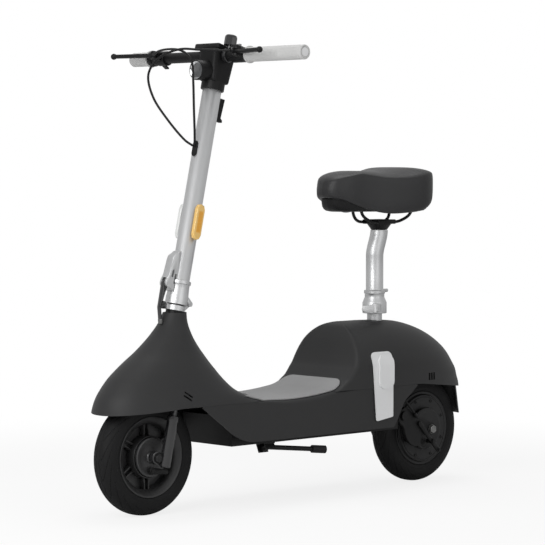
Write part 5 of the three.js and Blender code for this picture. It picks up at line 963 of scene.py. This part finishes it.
crown = edged(box("crown", (-16, -66, 288.8), (16, 66, 304.6), tilted), 3, 3)
pieces = [crown, stud("steerer", 0, 0, 289, 456.9, 14)]
pieces += [stud("stanchion", 0, side * leg_apart, 168, 304, 9) for side in (-1, 1)]
dressed(merged("fork_crown_piece", *pieces), gloss_black, "fork", "fork_crown", 30)
pieces = []
for side in (-1, 1):
    pieces.append(turned("leg", leg_rows, tilted(0, side * leg_apart, 108), mast, 48))
    lug = slot_outline((0, axle_level), (fork_lead, axle_level), 12.5, 14)
    pieces.append(edged(plate("lug", lug, side * 36, side * 47, tilted), 1.2))
dressed(merged("fork_legs", *pieces), gloss_black, "fork_slider", "fork_lowers", 30)
front_nuts = merged("front_axle_nuts", *axle_pieces(lambda y: tilted(fork_lead, y, axle_level), 55, 47, 1.6))
dressed(front_nuts, dark_metal, "fork_slider", None, 30)


# The folding joint's lower half is a zinc-bright ring clamped over the cowl's neck, with the hinge
# knuckle and its pin behind and a catch in front.
bright_metal = finish(
    "satin_silver", tinted((0.52, 0.525, 0.53), (0.57, 0.575, 0.58), 6.0), uneven(0.36, 0.46, 30.0), 0.8,
    grain=1200, deep=0.05)
ring_rows = [(14.4, 0), (20.4, 0), (21, 0.6), (21, 11.3), (20.2, 12.1), (14.4, 12.1)]
hinge_u, hinge_w = -32.5, 470
pieces = [
    turned("base_ring", ring_rows, tilted(0, 0, 448.8), mast, 96, True),
    stud("ring_cap", 0, 0, 460.4, 460.9, 20.2, 96),
    band("knuckle", (-17, 454.6), (hinge_u, hinge_w), (5.5, 5.5), -6, 6, 0.6),
    pin("hinge_pin", hinge_u, hinge_w, -12.2, 12.2, 3),
    edged(box("catch", (17, -6, 449), (30, 6, 460.6), tilted), 0.8, 2)]
dressed(merged("joint_base", *pieces), bright_metal, "fork", "stem_base", 30)


# The stem is a satin silver aluminium tube on a turned collar with a waist and a lip; two ears carry
# the hinge pin behind, and a small black bag hook sits high on its back.
stem_rows = [
    (18.4, 0.8), (24.1, 0.8), (24.7, 1.4), (24.7, 18.4), (24.1, 20.8), (23.1, 33), (22.8, 36), (22.8, 44.6),
    (23.3, 45.8), (24.8, 46.4), (24.8, 53.2), (24.2, 54), (21.6, 54.2), (21, 55), (21, 517.4), (20.4, 518),
    (18.4, 518)]
pieces = [turned("stem", stem_rows, tilted(0, 0, 462), mast, 128, True)]
for side in (-1, 1):
    pieces.append(band("ear", (hinge_u, hinge_w), (-20, 482), (5.5, 3), side * 6.4, side * 11.5, 0.5))
dressed(merged("stem_piece", *pieces), bright_metal, "stem", "stem_tube", 30)
hook_outline = [(-19.7, 878), (-40, 878), (-40, 883), (-34.5, 887), (-38, 930), (-19.7, 930)]
hook = edged(plate("bag_hook", hook_outline, -5, 5, tilted), 1.0, 3, 40)
dressed(hook, black, "stem", None, 40)


# The latch is a cast silver body that clasps the stem's foot, with two windows and a slot in which the
# long black lever turns; the lever hangs over the cowl's neck and ends in a small grey tip.
latch_outline = smoothed([
    (18, 494), (34, 494), (44, 496), (47.5, 502), (46, 512), (42, 524), (40, 545), (37.5, 562), (30, 570),
    (18, 573)], 5)
latch_body = edged(plate("latch_body_piece", latch_outline, -11, 11, tilted), 2.0, 4, 40)
settled(latch_body)
for a, b in (((24, 506), (24, 524)), ((33, 520), (32, 532))):
    cutaway(latch_body, plate("window_tool", slot_outline(a, b, 2.6, 2.6, 10), -40, 40, tilted))
cutaway(latch_body, box("slot_tool", (35.4, -5.4, 480), (60, 5.4, 515), tilted))
cutaway(latch_body, stud("stem_tool", 0, 0, 440, 980, 21.3, 96))
cutaway(latch_body, stud("lip_tool", 0, 0, 440, 516.4, 25.1, 96))
latch_pin = pin("latch_pin", 42.5, 503, -11.6, 11.6, 3)
dressed(merged("latch_casting", latch_body, latch_pin), bright_metal, "stem", "latch_body", 30)
pad_outline = smoothed([(31, 448.5), (45, 447.5), (46.3, 455), (45.5, 463), (33, 463), (31, 456)], 4)
pieces = [
    band("lever_top", (42.5, 503), (46.3, 449), (6.5, 2), -4.8, 4.8, 0.8),
    band("lever_low", (46.3, 449), (35.4, 416), (2, 2), -4.8, 4.8, 0.8),
    edged(plate("lever_pad", pad_outline, -4.8, 4.8, tilted), 1.0, 2, 40)]
dressed(merged("latch_lever_piece", *pieces), gloss_black, "latch", "latch_lever", 40)
lever_tip = band("lever_tip", (37.6, 422.5), (35.4, 416), (2.6, 2.6), -5.2, 5.2, 1.2, 3)
dressed(lever_tip, steel, "latch", None, 40)


# Long reflectors with faceted faces are glued to the stem's sides: amber on the left, clear on the
# right. Their prisms show as fine ribs, and the ends are paler than the middle.
lens_low, lens_high = 619, 675
lens_x, lens_middle = metres((head_ground, 0, 0))[0], (lens_low + lens_high) / 2000


def lens_tone(deep_tone, pale_tone):
    """Deep in an inner rectangle of the reflector, pale in the frame round it, with fine ribs."""
    def colour(place):
        x, y, z = place.parts()
        u = (x - lens_x) * math.cos(rake) + z * math.sin(rake)
        w = z * math.cos(rake) - (x - lens_x) * math.sin(rake) - lens_middle
        side = u.maths("ABSOLUTE", u).band(0.005, 0.007)
        end = w.maths("ABSOLUTE", w).band(0.021, 0.026)
        ribs = z.maths("SINE", z * 900) * 0.06
        tone = z.maths("MAXIMUM", side, end) + ribs
        return place.make("ValToRGB", {"stops": [(0.0, deep_tone), (1.0, pale_tone)]}, {"Fac": tone})
    return colour


def prisms(place):
    """Small pyramids of a reflector's face: two sines that run crosswise, multiplied, from 0 to 1."""
    x, y, z = place.parts()
    return (x.maths("SINE", (x + z) * 1400) * x.maths("SINE", (x - z) * 1400)) * 0.5 + 0.5


for side, name, tone, slot, node in (
        (1, "amber_lens", lens_tone((0.80, 0.36, 0.02), (0.86, 0.55, 0.16)), "amber", "reflector_left"),
        (-1, "clear_lens", lens_tone((0.60, 0.61, 0.60), (0.74, 0.75, 0.74)), "clear", "reflector_right")):
    outline = slot_outline((0, lens_low), (0, lens_high), 12, 12, 5)
    lens = edged(plate(node + "_lens", outline, side * 21.3, side * 32.3, tilted), 3.0, 1, 60)
    dressed(lens, finish(name, tone, 0.12, grain=prisms, deep=0.25, coat=0.8), "stem", node, 20)


# The cable port is a black rubber grommet, taller than wide, in the front of the stem; its outline runs
# across and up, and is carried ahead.
port = band(
    "port_grommet", (0, 796.6), (0, 816.6), (7.5, 7.5), 17.4, 23.4, 1.6, 3, lambda y, u, w: tilted(u, y, w))
dressed(port, black, "stem", "cable_port", 40)


# The handlebar is a black tube across the housing; the grips are light grey rubber sleeves with a
# flange at the inner end and a pale cap in the outer one.
grip_rubber = finish(
    "grip_rubber", grey(0.50, 0.58, 10.0, -0.005), uneven(0.55, 0.7, 20.0),
    grain=lambda p: p.noise(1500, 3.0) * 0.4 + p.cells(700).band(0.2, 0.5) * 0.3, deep=0.25)
bar_u, bar_w, bar_half, bar_end = 4, 1018.6, 276, 280.7
bar_rows = [(9.5, 0), (12, 0), (12, 2 * bar_half), (9.5, 2 * bar_half)]
bar = turned("bar_tube", bar_rows, tilted(bar_u, -bar_half, bar_w), y_way, 64, True)
dressed(bar, black, "stem", "handlebar", 30)
for side, start, node in ((1, 106, "grip_left"), (-1, 218, "grip_right")):
    depth = bar_end - start
    rows = [(12.3, 0), (18.2, 0), (19, 0.8), (19, 3.4), (18, 4.2), (16, 4.4)]
    for k in range(int((depth - 16) // 5)):
        rows += [(16, 6 + 5 * k), (16, 8.6 + 5 * k), (15.6, 9.2 + 5 * k), (15.6, 10.4 + 5 * k)]
    rows += [(16, depth - 7), (16, depth - 3), (15, depth - 0.8), (13.6, depth), (12, depth - 1.2),
             (0, depth - 1.2), (0, depth - 4.2), (12.3, depth - 4.2)]
    sleeve = turned(node + "_sleeve", rows, tilted(bar_u, side * start, bar_w), side * y_way, 72, True)
    dressed(sleeve, grip_rubber, "stem", node, 35)
    plug = pin(node + "_plug", bar_u, bar_w, side * (bar_end - 1.1), side * (bar_end - 0.4), 9.5, 40)
    dressed(plug, pale_grey, "stem")


# The housing on the stem's head is black plastic, wider at the top, on a round neck; the headlamp's
# black bowl sticks out of its front with a bright ring inside its rim and a dark glass.
def housing_surface(level, angle):
    """A rounded box in plan, |u/a|^n + |y/b|^n = 1 with n = 5, that grows from foot to top."""
    c, s = np.cos(angle), np.sin(angle)
    c, s = np.sign(c) * np.abs(c) ** 0.4, np.sign(s) * np.abs(s) ** 0.4
    ahead = np.where(c >= 0, 24 + 12 * level, 27 + 4 * level)
    swell = np.minimum(1, np.minimum(level / 0.05, (1 - level) / 0.06) ** 0.5 * 0.06 + 0.94)
    return tilted(ahead * c * swell, (26 + 5 * level) * s * swell, 960 + 69 * level)


levels_up = [0, 0.008, 0.02, 0.05, *np.linspace(0.1, 0.9, 12), 0.94, 0.97, 0.99, 1]
housing = capped("housing_box", housing_surface(*crossed(levels_up, around(120))))
neck_rows = [(21.3, 0.4), (25.4, 0.4), (26, 1), (26, 19), (21.3, 19)]
neck = turned("housing_neck", neck_rows, tilted(0, 0, 942), mast, 96, True)
lamp_rim = tilted(56, 0, 974)
bowl_rows = [
    (0, 0), (19, 0), (21.4, 4), (22, 10), (22, 38.6), (21.2, 40), (19.6, 40), (19.4, 34.8), (0, 34.8)]
bowl = turned("lamp_bowl", bowl_rows, lamp_rim - 40 * x_way, x_way)
dressed(merged("housing_shell", housing, neck, bowl), black, "stem", "head_housing")
chrome = finish(
    "bright_chrome", tinted((0.72, 0.73, 0.74), (0.8, 0.81, 0.82), 30.0), uneven(0.08, 0.14, 30.0), 1.0,
    grain=900, deep=0.02)
rows = [(15.6, 25.4), (19.2, 25.4), (19.2, 29.6), (18.4, 29.2), (16.4, 27), (15.6, 26.2)]
dressed(turned("lamp_ring", rows, lamp_rim - 30 * x_way, x_way, 96, True), chrome, "stem")
lamp_glass = finish(
    "lamp_glass", tinted((0.03, 0.031, 0.033), (0.12, 0.125, 0.13), 60.0), 0.05,
    grain=lambda p: p.maths("SINE", p.parts()[1] * 1500), deep=0.15, coat=1.0)
rows = [(0, 0), (18.6, 0), (18.6, 0.6), (15.6, 1), (12, 2.2), (6, 3.2), (0, 3.5)]
dressed(turned("lamp_face", rows, lamp_rim - 4.5 * x_way, x_way), lamp_glass, "stem", "lamp_lens")


# The display is a flat black case on top of the housing that slopes back towards the rider, with a
# dark glass in its lid.
def lid_slope(x, y, z):
    """The case's place: its upper edge behind stands 3 lower than ahead."""
    return tilted(x, y, z - 3 * ((x < 0) & (z > 1040)))


case = edged(box("display_case", (-26, -56, 1031), (24, 24, 1044), lid_slope), 4.0, 4)
case_foot = stud("case_foot", 0, -10, 1027, 1034, 14)
dressed(merged("display_piece", case, case_foot), black, "stem", "display")
screen_glass = finish(
    "screen_glass", grey(0.006, 0.010, 20.0, 0.002), 0.06, grain=300, deep=0.02, coat=1.0)
screen = edged(box("display_glass", (-20, -50, 1040.2), (18, 18, 1044.5),
                   lambda x, y, z: tilted(x, y, z - np.where(x < 0, 2.75, 0.3))), 0.8, 2)
dressed(screen, screen_glass, "stem")


# The brake lever perches are black castings clamped on the bar; the left one carries the switch pod
# with its two buttons. Each black lever turns on a pin and ends in a ball.
def clamp_ring(name, start, end, radius, bore=12.3):
    """A clamp round the bar with softened rims, from one distance out to another."""
    long = abs(end - start)
    rows = [(bore, 0), (radius - 1, 0), (radius, 1), (radius, long - 1), (radius - 1, long), (bore, long)]
    return turned(name, rows, tilted(bar_u, start, bar_w), math.copysign(1, end - start) * y_way, 64, True)


pivot_u = 31.6


def perch(side, start, end, pivot):
    """The clamp, its arm forward to the pivot, the two eyes over and under the lever and the pin."""
    bits = [clamp_ring("clamp", side * start, side * end, 16.5)]
    near, far = sorted((side * (pivot - 9), side * (pivot + 9)))
    for low, high in ((1009.6, 1013.6), (1023.6, 1027.6)):
        bits.append(stud("eye", pivot_u, side * pivot, low, high, 9, 40))
        bits.append(box("arm", (14, near, low), (pivot_u, far, high), tilted))
    near, far = sorted((side * (pivot - 9), side * (pivot + 8.7)))
    bits.append(box("web", (12, near, 1010.8), (22, far, 1026.4), tilted))
    bits.append(stud("pivot_pin", pivot_u, side * pivot, 1008.6, 1028.6, 3.4, 24))
    cord_start = tilted(44, side * (pivot - 7 if side > 0 else pivot - 12), 1018)
    bits.append(rod("adjuster", tilted(26, side * (pivot + 2), bar_w), cord_start, 4.2, 24))
    return bits


pod = edged(box("pod", (-8, 58, 1020), (16, 75, 1040), tilted), 3, 3)
dressed(merged("left_control_piece", pod, *perch(1, 58, 102, 95)), black, "stem", "left_control")
dressed(merged("right_perch_piece", *perch(-1, 163, 190, 178)), black, "stem", "right_perch")
ball_rows = [(7 * math.sin(a), 7 - 7 * math.cos(a)) for a in np.linspace(0, math.pi, 15)]
for side, pivot, tip, node, body in (
        (1, 95, 204, "brake_lever_left", "lever_left"), (-1, 178, 279, "brake_lever_right", "lever_right")):
    def drooped(u, w, y, pivot=pivot, tip=tip):
        """Outline ahead and out, carried up; the blade droops evenly from its pivot to its tip."""
        return tilted(u, y, w - 8 * np.clip((np.abs(y) - pivot) / (tip - pivot), 0, None))

    hinge, end = (pivot_u, side * pivot), (65, side * tip)
    blade = band("lever_blade", hinge, end, (7, 5), 1014.7, 1022.5, 2.2, 3, drooped)
    ball = turned("lever_ball", ball_rows, tilted(65, side * tip - 7, 1010.6), y_way, 32)
    dressed(merged(node + "_piece", blade, ball), black, body, node)


# The thumb throttle is a black ring beside the right grip with a paddle that turns under the thumb.
# The two buttons of the switch pod are dark grey caps with a round edge.
dressed(clamp_ring("throttle_ring", -205, -217, 17), black, "stem", "throttle_body")
paddle_ring = clamp_ring("paddle_ring", -191.2, -204.4, 15.5, 12.6)
paddle_place = leaned(math.radians(24), (bar_u, -197.8, bar_w), tilted)
paddle_tab = edged(box("paddle_tab", (-36, -6.6, -2), (-12.3, 6.6, 2), paddle_place), 1.4, 3)
dressed(merged("throttle_paddle_piece", paddle_ring, paddle_tab), black, "paddle", "throttle_paddle")
button_tone = finish("button_plastic", grey(0.16, 0.2, 60.0), 0.4, grain=1500, deep=0.1)
for y, node, body in ((62, "button_first", "button_a"), (71, "button_second", "button_b")):
    rows = [(0, 0), (3.6, 0), (3.6, 7.6), (3.2, 8.2), (2.2, 8.5), (0, 8.5)]
    dressed(turned(node + "_cap", rows, tilted(bar_u, y, 1035), mast, 32), button_tone, body, node)


# The bell is black: a clamp, a short stalk and a deep dome with flat facets round its side.
dome_rows = [(0, 0), (13.4, 0), (14, 0.8), (14, 17), (13.4, 20), (11.5, 22.6), (8, 23.8), (0, 24)]
pieces = [
    clamp_ring("bell_clamp", 33, 44, 16), stud("bell_stalk", bar_u, 38.5, 1033, 1042, 5, 32),
    turned("bell_dome", dome_rows, tilted(bar_u, 38.5, 1041), mast, 12)]
dressed(merged("bell_piece", *pieces), gloss_black, "stem", "bell", 25)


# Two black control cables arc forward from the levers and down into the port on the stem; the object
# holds both all the way.
left_route = [
    (44, 88, -0.6), (58, 62, -3), (72, 20, -4), (86, -32, -5), (96, -84, -26), (97, -108, -63.6),
    (80, -98, -111), (58, -62, -157), (38, -24, -194), (26.6, -3, -207)]
right_route = [
    (44, -166, -3), (60, -132, 1), (72, -88, 0.8), (78, -44, -3.3), (77, -14, -14), (73, 4, -34.6),
    (66, 10, -74.6), (52, 10, -128.6), (36, 7, -178), (26.6, 4, -207)]
for route, node in ((left_route, "cable_left"), (right_route, "cable_right")):
    u, y, w = np.array(route, float).T
    cord = tube(node + "_cord", tilted(u, y, bar_w + w), 2.6)
    dressed(cord, black, "stem", node, 50)


# The seat post is a wide satin silver tube with a clamp collar at its foot and a peg behind; it bends
# back a little under the saddle. The quick lever beside the collar is a white plastic flag.
post_rows = [
    (17.8, 0), (27.8, 0), (28.5, 0.8), (28.5, 25), (27.6, 27), (23.6, 36.5), (23, 38.6), (23, 45.4),
    (24.2, 46.2), (24.8, 46.8), (24.8, 53.2), (24, 54), (21.2, 54.2), (20.5, 55), (20.5, 137), (17.8, 137)]
post = turned("post_tube", post_rows, (post_x, 0, 407), z_way, 128, True)
t = np.linspace(0, 1, 24)
bend = tube("post_bend", upright(post_x - 15 * (3 * t**2 - 2 * t**3), 0, 541 + 61 * t), 20.5, 96, 2)
ear = edged(box("post_ear", (-276, 19.3, 411), (-261, 35.8, 431)), 2, 3)
peg = turned("post_peg", [(0, 0), (4, 0), (4, 24), (3.2, 25), (0, 25)], (-307, 0, 459), -x_way, 32)
dressed(merged("seat_post_piece", post, bend, ear, peg), bright_metal, "seat", "seat_post", 30)
skin_rows = [(17.35, 0), (17.5, 0), (17.5, 140), (17.35, 140)]
tube_skin = turned("seat_tube_skin", skin_rows, (post_x, 0, 380), z_way, 96, True)
dressed(tube_skin, bright_metal, "frame", None, 30)
eye_rows = [(0, 0), (4.2, 0), (4.6, 0.6), (4.6, 19.4), (4.2, 20), (0, 20)]
pieces = [
    turned("flag_eye", eye_rows, (-256, 33, 411), z_way, 40),
    band("flag", (-256, 421), (-221, 421), (9.5, 6.5), 30.2, 35.8, 1.6, 3, upright)]
dressed(merged("seat_flag", *pieces), pale_grey, "seat_lever", "seat_clamp_lever")


# The saddle's frame is black: a round clamp head on the post, a bridge and two bent rails that carry
# the saddle's stiff plastic shell.
rail_route = [
    (-228, 13.2, 652), (-235, 15.4, 636), (-250, 19.8, 625), (-272, 22, 621), (-334, 22, 621),
    (-358, 26.4, 627), (-372, 33, 638), (-380, 37.4, 656)]
head_rows = [(0, 0), (18.4, 0), (19, 0.8), (27, 12), (28, 13.6), (28, 16.8), (27, 17.6), (0, 17.6)]
pieces = [
    turned("clamp_head", head_rows, (-304, 0, 602.4), z_way, 64),
    edged(box("bridge", (-332, -28, 616.4), (-276, 28, 627)), 1.6, 3)]
pieces += [tube("rail", np.multiply(rail_route, (1, side, 1)), 3.6) for side in (-1, 1)]
dressed(merged("saddle_frame_piece", *pieces), black, "seat", "saddle_frame")


# The saddle is one soft foam cushion in black grained vinyl over the shell: a broad rounded nose, a
# raised pad behind, and nearly upright sides that the top rolls over into without a seam.
saddle_nose, saddle_length, saddle_side, saddle_low, saddle_high = -116.0, 291.0, 111.0, 641.0, 112.0
saddle_plan_rows = [
    [0, 0], [0.01, 0.14], [0.035, 0.26], [0.08, 0.36], [0.16, 0.45], [0.3, 0.54], [0.42, 0.65], [0.55, 0.81],
    [0.68, 0.94], [0.79, 1], [0.88, 0.95], [0.94, 0.83], [0.98, 0.6], [1, 0]]
saddle_rows = [
    [0, 0.68, 0.56, 0.33], [0.03, 0.8, 0.56, 0.31], [0.09, 0.866, 0.607, 0.27], [0.16, 0.893, 0.692, 0.2],
    [0.24, 0.906, 0.777, 0.14], [0.31, 0.9, 0.764, 0.088], [0.455, 0.895, 0.711, 0.02],
    [0.54, 0.903, 0.687, 0.01], [0.64, 0.937, 0.674, 0.025], [0.75, 0.979, 0.71, 0.05],
    [0.85, 0.998, 0.795, 0.11], [0.93, 0.995, 0.82, 0.2], [1, 0.95, 0.83, 0.28]]
vinyl = finish(
    "grained_vinyl", grey(0.017, 0.023, 6.0, 0.001), uneven(0.36, 0.48, 12.0),
    grain=lambda p: p.cells(900).band(0.05, 0.5) * 0.7 + p.noise(2400, 2.0) * 0.3, deep=0.22, specular=0.35)


def saddle_point(inward, angle, wall=np.nan):
    """Over the plan drawn in by inward: on top, an arch from the crease up to the crown; on the wall,
    a share of the way from the lower edge up to the crease."""
    along = (1 - np.cos(angle)) / 2
    half = saddle_side * curve(saddle_plan_rows, along) * np.sign(np.sin(angle))
    x = saddle_nose - along * saddle_length
    centre = saddle_nose - 0.6 * saddle_length
    x, y = centre + (x - centre) * inward, half * inward
    back = np.clip((saddle_nose - x) / saddle_length, 0, 1)
    crown = saddle_low + saddle_high * curve(saddle_rows, back, 1)
    crease, edge = (saddle_low + saddle_high * curve(saddle_rows, along, k) for k in (2, 3))
    top = crease + (crown - crease) * bulge(np.clip(inward, 0, 1), 4.2 - 2.1 * np.clip(along / 0.4, 0, 1))
    return np.stack([x, y, np.where(np.isnan(wall), top, edge + np.nan_to_num(wall) * (crease - edge))], -1)


pad_rings = [(r, np.nan) for r in (
    0.02, 0.12, 0.24, 0.36, 0.48, 0.58, 0.67, 0.75, 0.82, 0.87, 0.91, 0.94, 0.965, 0.984)]
pad_rings += [(0.996, 0.97), (1, 0.86), (1, 0.7), (1, 0.5), (0.996, 0.3), (0.985, 0.15),
              (0.965, 0.06), (0.93, 0.0), (0.88, -0.01), (0.8, 0.02), (0.5, 0.05), (0.2, 0.07)]
saddle_columns = 144
inward, wall = np.array(pad_rings)[:, :, None].transpose(1, 0, 2)
pad_grid = saddle_point(inward, around(saddle_columns), wall)
pad_grid = drifted(np.concatenate([pad_grid] * 3, 1), 1, 1)[:, saddle_columns:2 * saddle_columns]
saddle = capped("saddle_pad", pad_grid)
soft = saddle.modifiers.new("soft", "SUBSURF")
soft.levels = soft.render_levels = 1
dressed(saddle, vinyl, "seat", "saddle_cushion", 60)

base_rings = [
    (0.3, 1), (0.92, 1), (0.915, 0.7), (0.905, 0.42), (0.88, 0.22), (0.84, 0.09), (0.76, 0.02), (0.3, 0)]
inward, climb = np.array(base_rings)[:, :, None].transpose(1, 0, 2)
base_grid = saddle_point(inward, around(saddle_columns))
base_grid[..., 2] = 646 + climb * 30
dressed(capped("saddle_shell", base_grid), black, "seat", "saddle_base", 40)


# What stays in its plain solid form: the steel frame, battery and controller inside the body, and the
# tray, the stand and its bracket under it. They get the finishes of their kinds.
for node, look in (
        ("main_frame", black), ("battery_pack", black), ("motor_controller", dark_metal),
        ("under_tray", black), ("stand_bracket", black), ("stand_leg", black)):
    for kept in bpy.data.objects:
        if kept.name == node and kept.type == "MESH":
            for k in range(len(kept.material_slots)):
                kept.material_slots[k].material = look
